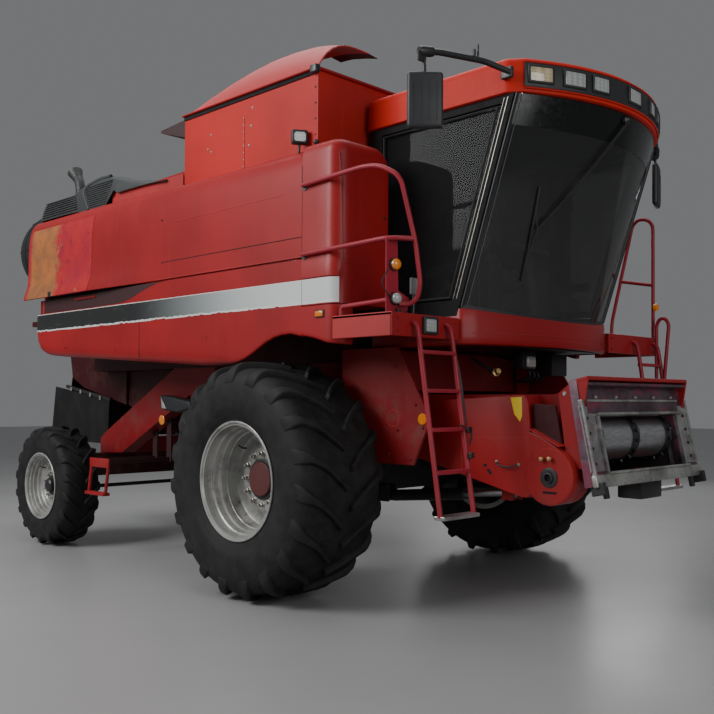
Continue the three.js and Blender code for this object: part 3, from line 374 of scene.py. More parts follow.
class Finish:
    """A procedural surface on one Principled shader, whose constants sit on its own sockets."""

    def __init__(self, name, **constants):
        self.material = bpy.data.materials.new(name)
        self.material.use_nodes = True
        self.tree = self.material.node_tree
        self.shader = self.tree.nodes["Principled BSDF"]
        for socket, value in constants.items():
            self.shader.inputs[socket.replace("_", " ")].default_value = value

    def add(self, kind, settings, values, output=0):
        """One node: its settings first, then the values or wires of its sockets."""
        node = self.tree.nodes.new(kind)
        for key, value in settings.items():
            setattr(node, key, value)
        pairs = values.items() if isinstance(values, dict) else enumerate(values)
        for key, value in pairs:
            if value is None:
                continue
            if isinstance(value, Wire):
                self.tree.links.new(value.socket, node.inputs[key])
            else:
                node.inputs[key].default_value = value
        return Wire(self, node.outputs[output])

    def place(self, stretch=(1, 1, 1)):
        """The point on the piece, in metres, stretched for a pattern."""
        spot = self.add("ShaderNodeTexCoord", {}, (), "Object")
        if stretch == (1, 1, 1):
            return spot
        return self.add("ShaderNodeMapping", {}, {"Vector": spot, "Scale": stretch})

    def axes(self):
        """The point's X, Y and Z as three wires."""
        parts = self.add("ShaderNodeSeparateXYZ", {}, (self.place(),)).socket.node
        return [Wire(self, out) for out in parts.outputs]

    def up(self):
        """How far the surface faces up, from -1 to 1."""
        normal = self.add("ShaderNodeNewGeometry", {}, (), "Normal")
        parts = self.add("ShaderNodeSeparateXYZ", {}, (normal,)).socket.node
        return Wire(self, parts.outputs[2])

    def noise(self, scale, detail=4, rough=0.55, stretch=(1, 1, 1), twist=0.0):
        sizes = {"Scale": scale, "Detail": detail, "Roughness": rough, "Distortion": twist}
        return self.add("ShaderNodeTexNoise", {}, {"Vector": self.place(stretch), **sizes})

    def cells(self, scale):
        return self.add("ShaderNodeTexVoronoi", {}, {"Vector": self.place(), "Scale": scale})

    def blend(self, first, second, share):
        """A colour between two, by a wire from 0 to 1."""
        ends = [(*c, 1) if isinstance(c, tuple) and len(c) == 3 else c for c in (first, second)]
        mixer = self.tree.nodes.new("ShaderNodeMix")
        mixer.data_type = "RGBA"
        for socket, value in ((mixer.inputs[0], share), (mixer.inputs[6], ends[0]), (mixer.inputs[7], ends[1])):
            if isinstance(value, Wire):
                self.tree.links.new(value.socket, socket)
            else:
                socket.default_value = value
        return Wire(self, mixer.outputs[2])

    def bump(self, height, strength=0.3, deep=0.002, under=None):
        sizes = {"Strength": strength, "Distance": deep, "Height": height, "Normal": under}
        return self.add("ShaderNodeBump", {}, sizes)

    def drive(self, colour, rough=None, normal=None, **others):
        """Feeds the shader's sockets, and gives the material."""
        wires = {"Base_Color": colour, "Roughness": rough, "Normal": normal, **others}
        for socket, wire in wires.items():
            if wire is None:
                continue
            self.tree.links.new(wire.socket, self.shader.inputs[socket.replace("_", " ")])
        return self.material


def scaled(tone, by_what, more=0.0):
    """A tone made lighter or darker."""
    return tuple(c * by_what + more for c in tone)


def weathered_red(name, tone=(0.33, 0.011, 0.013), dull=0.3, dirt=0.35, grime_top=0.0, gloss=0.12, shine=0.28):
    """Old red enamel: upper faces paler, partly as sun bleaching and partly as a painted sheen of the sky; faint
    streaks, field dust low down and small chips.
    """
    f = Finish(name, Specular_IOR_Level=shine, Coat_Roughness=0.18)
    *_, z = f.axes()
    broad = f.noise(0.9, 3)
    fine = f.noise(26, 5, 0.6)
    streak = f.noise(5, 4, 0.6, stretch=(5, 5, 0.35))
    bleach_and_sheen = scaled(tone, 1.12, 0.014)
    deep = scaled(tone, 0.72)
    colour = f.blend(deep, tone, broad.step(0.3, 0.7))
    # Upward faces blend towards the paler red: partly sun bleaching, partly a painted sky sheen.
    colour = f.blend(colour, bleach_and_sheen, f.up().step(0.2, 1.0) * 0.75 + streak.step(0.55, 0.85) * dull)
    low = z.step(grime_top + 1.9, grime_top + 0.5)
    dust = (f.noise(3.2, 6, 0.7).step(0.45, 0.75) * low * dirt).least(0.8)
    colour = f.blend(colour, (0.12, 0.07, 0.055), dust)
    soot = f.noise(1.7, 5, 0.7, stretch=(1, 1, 0.5)).step(0.55, 0.8) * (dirt * 0.5)
    colour = f.blend(colour, (0.05, 0.014, 0.016), soot)
    chip = (f.noise(55, 2, 0.5) > 0.735) * (f.noise(2.4, 2) > 0.55)
    colour = f.blend(colour, (0.045, 0.02, 0.018), chip * 0.8)
    rough = fine * 0.12 + 0.33 + dust * 0.4 + streak * 0.12
    coat = gloss - dust * 0.5
    dents = f.noise(1.6, 2, 0.4) + fine * 0.01
    return f.drive(colour, rough, f.bump(dents, 0.22, 0.02), Coat_Weight=coat.most(0))


def mottled_door(name):
    """The rear door's paint: worn through to orange-brown primer in its rear half."""
    f = Finish(name, Specular_IOR_Level=0.4)
    _, y, z = f.axes()
    red = f.blend((0.4, 0.018, 0.02), (0.3, 0.012, 0.03), f.noise(4, 5, 0.7).step(0.4, 0.65))
    tan = f.blend((0.36, 0.115, 0.03), (0.22, 0.085, 0.03), f.noise(6, 5, 0.6).step(0.35, 0.7))
    start = REAR_DOOR[0] + 0.5 * (REAR_DOOR[1] - REAR_DOOR[0])
    ragged = (f.noise(5, 6, 0.8) - 0.5) * 0.8 + (f.noise(19, 4, 0.8) - 0.5) * 0.5
    share = (y + ragged).step(start - 0.05, start + 0.1)
    islands = f.noise(9, 6, 0.7).step(0.6, 0.64) * (z.step(2.85, 2.6) * 0.8)
    share = share.most(islands) * y.step(REAR_DOOR[1] - 0.02, REAR_DOOR[1] - 0.09)
    bruise = f.noise(11, 6, 0.75).step(0.58, 0.63)
    red = f.blend(red, (0.16, 0.008, 0.03), bruise * 0.75)
    colour = f.blend(red, tan, share)
    colour = f.blend(colour, (0.1, 0.02, 0.02), (f.noise(30, 3) > 0.68) * 0.6)
    return f.drive(colour, share * 0.3 + 0.38, f.bump(f.noise(22, 6, 0.7), 0.2, 0.003))


def stripe_finish(name):
    """The side band: silver-white at the front fading to black behind, with torn white edges."""
    f = Finish(name, Specular_IOR_Level=0.5)
    _, y, z = f.axes()
    front, rear = AXLE_Y - 0.84, AXLE_Y + 3.65
    along = (y - front) / (rear - front)
    silver = f.blend((0.58, 0.6, 0.6), (0.27, 0.3, 0.3), along.step(0.08, 0.42))
    body = f.blend(silver, (0.01, 0.012, 0.012), along.step(0.24, 0.6))
    scuff = f.noise(7, 6, 0.75, stretch=(1, 0.6, 3)).step(0.55, 0.8) * 0.35
    body = f.blend(body, (0.2, 0.21, 0.2), scuff * along.step(0.0, 0.5))
    torn = (f.noise(14, 4, 0.7, stretch=(1, 1, 0.1)) - 0.5) * 0.035
    low_edge = (z + torn) < (STRIPE[0] + 0.017)
    top_edge = z > (STRIPE[1] - 0.006)
    colour = f.blend(body, (0.66, 0.66, 0.63), low_edge.most(top_edge) * 0.9)
    lost = ((z + torn * 1.6) < (STRIPE[0] + 0.004)) * (f.noise(3, 3) > 0.5)
    colour = f.blend(colour, (0.28, 0.015, 0.02), lost)
    return f.drive(colour, f.noise(30, 4) * 0.2 + 0.3, Coat_Weight=0.2 + lost * -0.2)


def rubber(name, tone=(0.0095, 0.0096, 0.0098), dust=0.35):
    """Tyre rubber: grey-black, scuffed, with field dust in its hollows."""
    f = Finish(name, Specular_IOR_Level=0.24)
    scuff = f.noise(9, 6, 0.7).step(0.35, 0.75)
    colour = f.blend(tone, scaled(tone, 1.8, 0.006), scuff)
    film = f.noise(2.6, 5, 0.65).step(0.4, 0.8) * dust
    colour = f.blend(colour, (0.045, 0.044, 0.041), film * 0.55)
    grit = f.noise(120, 3, 0.6)
    return f.drive(colour, 0.62 + scuff * 0.2, f.bump(grit * 0.4 + f.noise(18, 4), 0.3, 0.002))


def rim_paint(name):
    """Silver-grey wheel paint, chipped and rusty along its rolled edge."""
    f = Finish(name, Specular_IOR_Level=0.5, Metallic=0.25)
    grime = f.noise(6, 6, 0.7).step(0.42, 0.75)
    colour = f.blend((0.34, 0.34, 0.325), (0.13, 0.125, 0.115), grime * 0.9)
    rust = (f.noise(26, 5, 0.7) > 0.63) * f.noise(3, 3).step(0.5, 0.65)
    colour = f.blend(colour, (0.1, 0.04, 0.02), rust * 0.8)
    return f.drive(colour, grime * 0.25 + 0.32 + rust * 0.3, f.bump(f.noise(40, 4), 0.12, 0.001))


def dark_metal(name, tone=(0.03, 0.03, 0.032), rough=0.5, metal=0.3, dust=0.4):
    """Painted or oily dark metal under a film of dust."""
    f = Finish(name, Metallic=metal)
    film = f.noise(4, 6, 0.7).step(0.45, 0.8) * dust
    colour = f.blend(tone, (0.13, 0.105, 0.085), film * 0.6)
    colour = f.blend(colour, scaled(tone, 0.5), f.noise(16, 4).step(0.5, 0.7) * 0.6)
    return f.drive(colour, rough + film * 0.3, f.bump(f.noise(60, 4), 0.2, 0.001))


def plastic(name, tone=(0.022, 0.023, 0.025), rough=0.42, grain=0.15):
    """Moulded plastic: fine grain, paler where the sun has bleached its top."""
    f = Finish(name, Specular_IOR_Level=0.45)
    sun = f.up().step(0.1, 1.0) * 0.5 + f.noise(3, 5, 0.6).step(0.4, 0.8) * 0.4
    colour = f.blend(tone, scaled(tone, 2.2, 0.015), sun * 0.7)
    return f.drive(colour, f.noise(14, 4) * 0.16 + rough, f.bump(f.noise(300, 2), grain, 0.0006))


def worn_steel(name, tint=(0.46, 0.465, 0.45), stain=(0.17, 0.075, 0.11), stained=0.5):
    """Bare steel polished by crop, with old paint and rust left in patches."""
    f = Finish(name)
    swirl = f.noise(3.5, 6, 0.7, twist=0.6)
    brushed = f.noise(18, 4, 0.6, stretch=(1, 8, 8))
    colour = f.blend(tint, scaled(tint, 0.45), swirl.step(0.35, 0.7))
    left = (f.noise(5, 6, 0.75) + f.noise(1.5, 2) * 0.4 - 0.2).step(0.5, 0.6) * stained
    colour = f.blend(colour, stain, left)
    rust = (f.noise(12, 6, 0.75) > 0.62) * 0.6
    colour = f.blend(colour, (0.12, 0.055, 0.03), rust * 0.6)
    return f.drive(colour, brushed * 0.2 + 0.25 + left * 0.2, f.bump(brushed + swirl, 0.15, 0.001),
        Metallic=0.85 - left * 0.7)


def bright_steel(name):
    f = Finish(name, Metallic=1.0)
    drawn = f.noise(30, 5, 0.6, stretch=(0.4, 12, 12))
    colour = f.blend((0.66, 0.67, 0.69), (0.36, 0.36, 0.37), drawn.step(0.35, 0.7))
    return f.drive(colour, drawn * 0.25 + 0.28)


def tinted_glass(name, tone=(0.034, 0.035, 0.036), cover=0.4, gloss=0.9):
    """Tinted safety glass with a faint film of dust low down."""
    f = Finish(name, Roughness=0.03, Specular_IOR_Level=gloss, Coat_Weight=0.44 * gloss, Coat_Roughness=0.02)
    *_, z = f.axes()
    film = f.noise(2.2, 6, 0.7).step(0.45, 0.8) * z.step(3.3, 2.1)
    colour = f.blend(tone, (0.09, 0.09, 0.088), film * 0.35)
    return f.drive(colour, Alpha=(film * 0.14 + cover).least(0.9))


def lens(name, tone, glow=0.0, ribs=260):
    """A lamp's moulded lens: vertical ribs over a bright reflector."""
    f = Finish(name, Roughness=0.12, Specular_IOR_Level=0.8, Coat_Weight=0.6, Coat_Roughness=0.03)
    x, y, z = f.axes()
    rib = ((x + y) * ribs).wave() * 0.5 + 0.5
    cross = (z * ribs).wave() * 0.5 + 0.5
    colour = f.blend(tone, scaled(tone, 0.55), rib * 0.5 + cross * 0.25)
    if glow:
        f.shader.inputs["Emission Strength"].default_value = glow
        return f.drive(colour, normal=f.bump(rib + cross, 0.3, 0.001), Emission_Color=colour)
    return f.drive(colour, normal=f.bump(rib + cross, 0.3, 0.001))


def cloth(name, tone=(0.05, 0.05, 0.055)):
    """Woven seat cloth."""
    f = Finish(name, Roughness=0.9, Sheen_Weight=0.3)
    x, y, z = f.axes()
    weave = (x * 1400).wave() * ((y + z) * 1400).wave() * 0.5 + 0.5
    colour = f.blend(tone, scaled(tone, 1.8, 0.01), weave * 0.5 + f.noise(8, 4) * 0.4)
    return f.drive(colour, normal=f.bump(weave, 0.3, 0.0008))


def plain(name, tone, rough=0.5, metal=0.0, specks=0.25, shine=0.5):
    """A small part's paint or metal, a little uneven."""
    f = Finish(name, Metallic=metal, Specular_IOR_Level=shine)
    uneven = f.noise(35, 5, 0.65).step(0.35, 0.75)
    colour = f.blend(tone, scaled(tone, 0.6), uneven * specks)
    return f.drive(colour, uneven * 0.15 + rough)


def pale_floor(name):
    f = Finish(name, Specular_IOR_Level=0.4)
    tone = f.blend((0.36, 0.36, 0.36), (0.33, 0.33, 0.33), f.noise(0.5, 3).step(0.3, 0.7))
    return f.drive(tone, f.noise(2, 4) * 0.1 + 0.28)


# Bands and doors that the finishes and the pieces share.
STRIPE = (2.13, 2.305)
REAR_DOOR = (AXLE_Y + 2.55, AXLE_Y + 3.86)

RED = weathered_red("red_enamel")
RED_LOW = weathered_red("red_enamel_dusty", tone=(0.23, 0.009, 0.012), dull=0.2, dirt=0.55, grime_top=0.6,
    gloss=0.1)
# A near-black red that paints shade on parts under and behind the body, in recesses, under edges and on a seam; it
# also carries dust and soot.
RED_SHADED = weathered_red("red_enamel_painted_shade_and_grime", tone=(0.05, 0.004, 0.006), dull=0.1, dirt=0.5, grime_top=0.8,
    gloss=0.0)
# A paler red for painted highlights on pressed lines, beads, creases and edges, and for painted light on side
# plates.
RED_LIT = weathered_red("red_enamel_painted_light", tone=(0.42, 0.035, 0.035), dull=0.6, dirt=0.15)
# A flat dark maroon for painted shade on sheets and parts that sit in shadow.
SHADE_MAROON = plain("maroon_shadow", (0.03, 0.004, 0.006), 0.6)
RED_RAIL = weathered_red("red_enamel_rail", tone=(0.33, 0.02, 0.035), dull=0.5, dirt=0.4)
# A brighter, more orange red for the grain tank's walls, painting the sunlight that falls on them.
RED_SUNLIT_WALL = weathered_red("red_enamel_wall_painted_sunlight", tone=(0.5, 0.028, 0.024), dull=0.3, dirt=0.2, gloss=0.0, shine=0.15)
PATCHED = mottled_door("red_enamel_worn_through")
STRIPED = stripe_finish("side_band")
TYRE = rubber("tyre_rubber")
RIM = rim_paint("rim_silver")
IRON = dark_metal("cast_iron_dark")
BLACK = dark_metal("black_paint", tone=(0.018, 0.018, 0.02), rough=0.38, metal=0.0, dust=0.35)
MOULDED = plastic("black_moulding")
GRILLE = plastic("black_grille", tone=(0.026, 0.029, 0.03), rough=0.5)
SHEET_RUBBER = dark_metal("rubber_sheet", tone=(0.004, 0.004, 0.0042), rough=0.42, metal=0.0, dust=0.25)
WORN = worn_steel("crop_worn_steel")
PURPLED = worn_steel("old_paint_on_steel", tint=(0.2, 0.13, 0.16), stain=(0.15, 0.022, 0.05), stained=1.5)
BRIGHT = bright_steel("drum_steel")
GLASS = tinted_glass("tinted_glass")
SIDE_GLASS = tinted_glass("tinted_side_glass", tone=(0.02, 0.021, 0.022), cover=0.7, gloss=0.04)
CLEAR = lens("lamp_lens", (0.42, 0.45, 0.43))
WARM = lens("lamp_lens_yellowed", (0.62, 0.52, 0.32))
AMBER = lens("amber_lens", (0.75, 0.22, 0.01), glow=0.12, ribs=500)
CLOTH = cloth("seat_cloth")
YELLOW = plain("yellow_decal", (0.8, 0.55, 0.02), 0.45)
ZINC = plain("zinc_fastener", (0.42, 0.4, 0.36), 0.4, metal=0.8)
BRASS = plain("brass_knob", (0.5, 0.34, 0.16), 0.35, metal=0.9)
HUB_RED = plain("hub_red", (0.1, 0.022, 0.02), 0.5, specks=0.6)
# Near-black for real gaps, slots and holes, and for painted shade in a crease and under the tank's rim.
DARK_GAP_AND_SHADE = plain("dark_gap_and_painted_shade", (0.008, 0.006, 0.007), 0.9)
HOSE = plain("black_hose", (0.014, 0.014, 0.015), 0.45)
MIRROR_GLASS = plain("mirror_glass", (0.7, 0.72, 0.74), 0.03, metal=1.0, specks=0.02)
EXHAUST = plain("exhaust_sooty_steel", (0.055, 0.055, 0.056), 0.5, metal=0.6, specks=0.6)
POST_BLACK = plain("cab_post_black", (0.01, 0.01, 0.011), 0.7, specks=0.1, shine=0.2)


# ---- skins and small repeated parts ----
def between(table, place):
    """A table's values at a place between its rows, each of which starts with its own place."""
    for (start, *first), (end, *second) in zip(table, table[1:]):
        if place <= end:
            break
    share = min(max((place - start) / (end - start), 0), 1)
    return [a + (b - a) * share for a, b in zip(first, second)]


def ease(low, high, place):
    """0 at low, 1 at high, with a soft start and end."""
    share = min(max((place - low) / (high - low), 0), 1)
    return share * share * (3 - 2 * share)


def arc(centre, radius, start, end, steps):
    """Points of a circle in a plane, from one angle to another in degrees."""
    turns = [radians(start + (end - start) * k / steps) for k in range(steps + 1)]
    return [(centre[0] + radius * cos(t), centre[1] + radius * sin(t)) for t in turns]


def skin(name, across, up, place, thick=0.0, outward=(0, 0, 1), angle=40):
    """A grid of faces laid on a surface, turned outwards and given a wall."""
    bpy.ops.object.select_all(action="DESELECT")
    bpy.ops.mesh.primitive_grid_add(x_subdivisions=across, y_subdivisions=up, size=1)
    piece = settle(named(name))
    for point in piece.data.vertices:
        i, j = round((point.co.x + 0.5) * across), round((point.co.y + 0.5) * up)
        point.co = Vector(place(i, j))
    piece.data.update()
    way = Vector(outward)
    if sum(face.normal.dot(way) * face.area for face in piece.data.polygons) < 0:
        piece.data.flip_normals()
    if thick:
        worked(piece, "SOLIDIFY", thickness=thick, offset=-1)
    return smooth(piece, angle)


# A strip's two directions: across it, and off the surface that it lies on.
LEVEL, UPRIGHT, FRONTAL = ((0, 0, 1), (-1, 0, 0)), ((0, 1, 0), (-1, 0, 0)), ((1, 0, 0), (0, -1, 0))


def strip(name, points, wide, high, along):
    """A flat bar along a chain of points: wide across the given direction, high off the surface."""
    across, off = Vector(along[0]) * wide / 2, Vector(along[1]) * high

    def place(i, j):
        return where(points[i]) + across * (2 * j - 1) + off

    return skin(name, len(points) - 1, 1, place, high, along[1])


BOLT = ((0.0095, -0.003), (0.0095, 0.0015), (0.0085, 0.002), (0.0062, 0.002), (0.0062, 0.0062), (0.005, 0.0072))
RIVET = ((0.0065, -0.002), (0.0062, 0.001), (0.0045, 0.003), (0.002, 0.004), (0, 0.0042))
SCREW = ((0.006, -0.002), (0.006, 0.002), (0.0052, 0.0028))


def studs(name, spots, out, finish, profile=BOLT, grow=1.0, sides=6, body="body"):
    """Bolt, screw or rivet heads at places on a face, copied from one."""
    model = drum(name, Vector(), out, [(r * grow, a * grow) for r, a in profile], sides)
    return put(copied(model, [shift(*where(place)) for place in spots], name), finish, body)


def both_sides(piece, node=None):
    """Mirrors a right-hand piece to the left, on the left one of a pair of bodies where it rides on one."""
    name = piece.name.replace("right", "left")
    twin = renamed(flipped(twin_of(piece)), name if name != piece.name else name + "_left")
    body = piece["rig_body"].replace("right", "left")
    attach(twin, body)
    if node:
        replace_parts(twin, node.replace("right", "left"))
    return twin


# ---- wheels ----
# A lug's stations from the shoulder to the crown's middle: place across, radius, lean of its face in
# degrees, height over the carcass, width, and how far it has swept round, all for a 0.87 m front tyre.
LUG = ((0.379, 0.708, 82, 0.002, 0.112, -0.05), (0.376, 0.76, 72, 0.013, 0.108, -0.034),
    (0.362, 0.804, 54, 0.027, 0.096, -0.018), (0.336, 0.838, 32, 0.038, 0.074, 0.0),
    (0.3, 0.856, 15, 0.042, 0.056, 0.022), (0.238, 0.865, 6, 0.042, 0.049, 0.06),
    (0.168, 0.869, 2, 0.042, 0.046, 0.118), (0.096, 0.87, 0, 0.042, 0.046, 0.19),
    (0.022, 0.87, 0, 0.042, 0.038, 0.272),)
SIDEWALL = ((0.326, 0.404), (0.329, 0.437), (0.338, 0.447), (0.341, 0.462), (0.352, 0.47), (0.354, 0.486),
    (0.366, 0.5), (0.378, 0.548), (0.383, 0.596), (0.3845, 0.64), (0.381, 0.676))
FRONT_SIZE = {"outer": 0.87, "half": 0.385, "seat": 0.404, "deep": 0.042}


def tyre_scale(size):
    """Turns a front tyre's section into one of another size."""
    tall = (size["outer"] - size["seat"]) / (FRONT_SIZE["outer"] - FRONT_SIZE["seat"])
    wide = size["half"] / FRONT_SIZE["half"]
    return lambda a, r: (a * wide, size["outer"] - (FRONT_SIZE["outer"] - r) * tall)


def lug_model(name, size, face, centre):
    """One tread lug: a strip of faces raised, wrapped round the carcass and rounded."""
    fit = tyre_scale(size)
    grow = size["deep"] / FRONT_SIZE["deep"]
    spans = len(LUG) - 1
    bpy.ops.object.select_all(action="DESELECT")
    bpy.ops.mesh.primitive_grid_add(x_subdivisions=spans, y_subdivisions=1, size=2)
    piece = settle(named(name))
    with editing(piece, first="SELECT"):
        pull((0, 0, 1))
    for point in piece.data.vertices:
        station = LUG[round((point.co.x + 1) / 2 * spans)]
        across, radius = fit(station[0], station[1])
        lean = radians(station[2])
        sink = 0 if point.co.z > 0.5 else station[3] * grow + 0.018
        across -= sin(lean) * sink
        radius -= cos(lean) * sink
        wide = station[4] * size["lug"] * (0.88 if point.co.z > 0.5 else 1.3)
        angle = station[5] * size["sweep"] + copysign(wide / 2 / radius, point.co.y)
        point.co = centre + by(face * across, -sin(angle) * radius, cos(angle) * radius)
    face_out(piece)
    rounded(piece, 0.007, 2, 35)
    return smooth(piece, 45)


def tyre(kind, side, size, centre):
    fit = tyre_scale(size)
    grow = size["deep"] / FRONT_SIZE["deep"]
    half_ring = [fit(a, r) for a, r in SIDEWALL]
    for across, radius, lean, deep, *_ in LUG:
        lean = radians(lean)
        a, r = fit(across, radius)
        half_ring.append((a - sin(lean) * deep * grow, r - cos(lean) * deep * grow))
    ring = [(r, -a) for a, r in half_ring] + [(r, a) for a, r in reversed(half_ring)]
    inner = half_ring[0][1] + 0.0005
    ring = [(inner, ring[0][1])] + ring + [(inner, ring[-1][1])]
    name = f"{kind}_wheel_{side}_tyre"
    carcass = smooth(drum(name, centre, (1, 0, 0), ring + [ring[0]], 96), 50)
    sets = []
    for face in (1, -1):
        model = lug_model(name + "_lugs", size, face, centre)
        pitch = 360 / size["count"]
        half_pitch = pitch / 2 if face > 0 else 0
        sets.append(copied(model, [turn(k * pitch + half_pitch, "X", centre) for k in range(size["count"])]))
    whole = joined([carcass] + sets, name)
    put(whole, TYRE, f"{kind}_wheel_{side}")
    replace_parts(whole, f"{kind}_tyre_{side}")


FRONT_RIM = ((0, 0.05), (0.33, 0.046), (0.392, 0.02), (0.392, -0.335), (0.428, -0.345), (0.436, -0.345),
    (0.436, -0.332), (0.403, -0.33), (0.403, 0.33), (0.434, 0.332), (0.436, 0.336), (0.435, 0.342), (0.43, 0.345),
    (0.42, 0.342), (0.411, 0.328), (0.404, 0.3), (0.401, 0.272), (0.396, 0.262), (0.386, 0.256), (0.383, 0.25),
    (0.382, 0.218), (0.378, 0.21), (0.369, 0.204), (0.366, 0.198), (0.364, 0.152), (0.356, 0.148), (0.356, 0.143),
    (0.363, 0.139), (0.36, 0.086), (0.35, 0.062), (0.33, 0.052), (0.29, 0.052), (0.262, 0.06), (0.24, 0.078),
    (0.222, 0.086), (0.16, 0.086), (0, 0.086),)
REAR_RIM = ((0, 0.028), (0.24, 0.024), (0.292, 0.01), (0.292, -0.172), (0.324, -0.182), (0.331, -0.182),
    (0.331, -0.17), (0.302, -0.168), (0.302, 0.168), (0.329, 0.17), (0.331, 0.174), (0.33, 0.179), (0.326, 0.182),
    (0.316, 0.18), (0.307, 0.168), (0.3, 0.146), (0.288, 0.14), (0.285, 0.118), (0.274, 0.112), (0.27, 0.082),
    (0.258, 0.074), (0.252, 0.052), (0.236, 0.04), (0.214, 0.04), (0.206, 0.047), (0.19, 0.047), (0.182, 0.038),
    (0.16, 0.036), (0.15, 0.044), (0, 0.044),)
FRONT_HUB = ((0.152, 0.08), (0.152, 0.096), (0.142, 0.1), (0.132, 0.1))
FRONT_CAP = ((0.127, 0.095), (0.127, 0.112), (0.12, 0.119), (0.05, 0.122), (0, 0.123))
REAR_HUB = ((0.098, 0.04), (0.098, 0.052), (0.088, 0.056))
REAR_CAP = ((0.066, 0.05), (0.064, 0.09), (0.05, 0.102), (0.02, 0.106))
NUT = ((0.026, -0.004), (0.026, 0.003), (0.018, 0.005), (0.018, 0.024), (0.0125, 0.027), (0.0125, 0.044),
    (0.01, 0.047))

WHEELS = {"front": {"outer": 0.87, "half": 0.385, "seat": 0.404, "deep": 0.042, "count": 19, "sweep": 1.0,
    "lug": 1.0, "rim": FRONT_RIM, "hub": FRONT_HUB, "cap": FRONT_CAP, "cap_look": HUB_RED, "nuts": 12,
    "nut_ring": 0.19, "disc": 0.086, "nut": 1.0}, "rear": {"outer": 0.59, "half": 0.19, "seat": 0.303,
    "deep": 0.032, "count": 18, "sweep": 0.95, "lug": 0.72, "rim": REAR_RIM, "hub": REAR_HUB, "cap": REAR_CAP,
    "cap_look": BLACK, "nuts": 10, "nut_ring": 0.125, "disc": 0.044, "nut": 0.75},}


def wheel(kind, side, way):
    size = WHEELS[kind]
    body = f"{kind}_wheel_{side}"
    centre = middle(f"{kind}_tyre_{side}")
    tyre(kind, side, size, centre)

    def turned(word, profile, finish, sides=64):
        piece = drum(f"{body}_{word}", centre, (1, 0, 0), [(r, way * a) for r, a in profile], sides)
        return put(smooth(piece, 32), finish, body)

    rim = turned("rim", size["rim"], RIM, 96)
    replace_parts(rim, f"{kind}_rim_{side}")
    turned("hub_ring", size["hub"], IRON)
    turned("hub_cap", size["cap"], size["cap_look"])
    seat = centre + by(way * size["disc"], 0, size["nut_ring"])
    grow = size["nut"]
    put(copied(drum(f"{body}_nuts", seat, (way, 0, 0), [(r * grow, a * grow) for r, a in NUT], 6),
        [turn(k * 360 / size["nuts"], "X", centre) for k in range(size["nuts"])], f"{body}_nuts"), ZINC, body)
    stem = centre + by(way * size["disc"], size["seat"] * 0.5, size["seat"] * 0.55)
    put(rod(f"{body}_valve", [stem, stem + by(way * 0.03, 0, 0), stem + by(way * 0.06, 0.02, 0.02)], 0.006, 3),
        HOSE, body)


for side, way in SIDES:
    wheel("front", side, way)
    wheel("rear", side, way)


# ---- side panels, drawn on the right ----
FACE_X = -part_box("side_shield_right")[0].x
SEAM_Y, SHIELD_REAR, BODY_REAR = -0.466, 3.678, 3.878
SHIELD_TOP = 2.452
CORNER_R = 0.115
CORNER_Y = -0.84

PANEL_SECTION = ((1.55, 2.467), (1.55, 2.5), (1.55, 2.56), (1.55, 2.62), (1.55, 2.76), (1.55, 2.9), (1.547, 2.98),
    (1.537, 3.052), (1.517, 3.112), (1.488, 3.158), (1.45, 3.188), (1.395, 3.199),)
LIP_FLARE = (1.0, 0.95, 0.5, 0.15)


def panel_point(y, j, proud=0.0, crown=0.072):
    """A place on the upper side panel: its lower lip leans out towards the rear, and its crown rises."""
    x, z = PANEL_SECTION[j]
    z += (crown + 0.3 * crown * ease(0.9, 2.6, y)) * ease(2.84, 3.16, z)
    flare = 0.048 * ease(1.3, 2.7, y) * (LIP_FLARE[j] if j < len(LIP_FLARE) else 0)
    return at(-x - flare - proud, y, z)


def upper_panel():
    across = 26

    for side, crown in (("right", 0.072), ("left", 0.0)):
        panel = skin(f"upper_panel_{side}_skin", across, len(PANEL_SECTION) - 1, lambda i,
            j: panel_point(SEAM_Y + (BODY_REAR - SEAM_Y) * i / across, j, 0, crown), 0.018, (-1, 0, 0.2))
        if side == "left":
            flipped(panel)
        put(panel, RED)
        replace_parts(panel, f"upper_panel_{side}")
        front, rear = REAR_DOOR[0] - AXLE_Y, REAR_DOOR[1] - AXLE_Y

        def door_place(i, j):
            y = front + (rear - front) * i / 12
            if j < 8:
                return panel_point(y, j, 0.004, crown)
            return panel_point(y, 7, 0.004, crown) * 0.25 + panel_point(y, 8, 0.004, crown) * 0.75

        door = rounded(skin(f"rear_door_{side}", 12, 8, door_place, 0.005, (-1, 0, 0)), 0.0015, 1, 50)
        if side == "left":
            flipped(door)
        put(door, PATCHED)
    # Pressed lines: a painted shade line along the crease, with its end hole, and pale painted highlight lines over
    # and under it.
    lines = []
    for y0, y1, z0, z1 in ((-0.26, 1.16, 2.945, 2.935), (SEAM_Y, 1.92, 2.472, 2.472)):
        lines.append(strip("highlight_line", [(-1.5495, y0, z0), (-1.5495, y1, z1)], 0.005, 0.0022, LEVEL))
    both_sides(put(joined(lines, "pressed_lines_right"), RED_LIT))
    both_sides(put(strip("dark_line_right", [(-1.55, 1.345, 2.612), (-1.55, SEAM_Y, 2.612)], 0.006, 0.0012, LEVEL),
        DARK_GAP_AND_SHADE))
    both_sides(studs("line_end_right", [(-1.5505, 1.35, 2.612), (-1.552, 1.35, 2.97)], (-1, 0, 0), DARK_GAP_AND_SHADE, SCREW,
        1.1, 10))
    # Latch square on the rear door's foot, and bolt heads on the door.
    both_sides(put(crate("door_latch_right", (-1.604, 3.27, 2.466), (-1.593, 3.33, 2.512), 0.002, 1), BLACK))
    both_sides(studs("door_bolts_right", [(-1.5545, y, z) for y in (2.62, 3.8) for z in (2.7, 2.86, 3.02)],
        (-1, 0, 0), RED, RIVET, 1.0, 10))


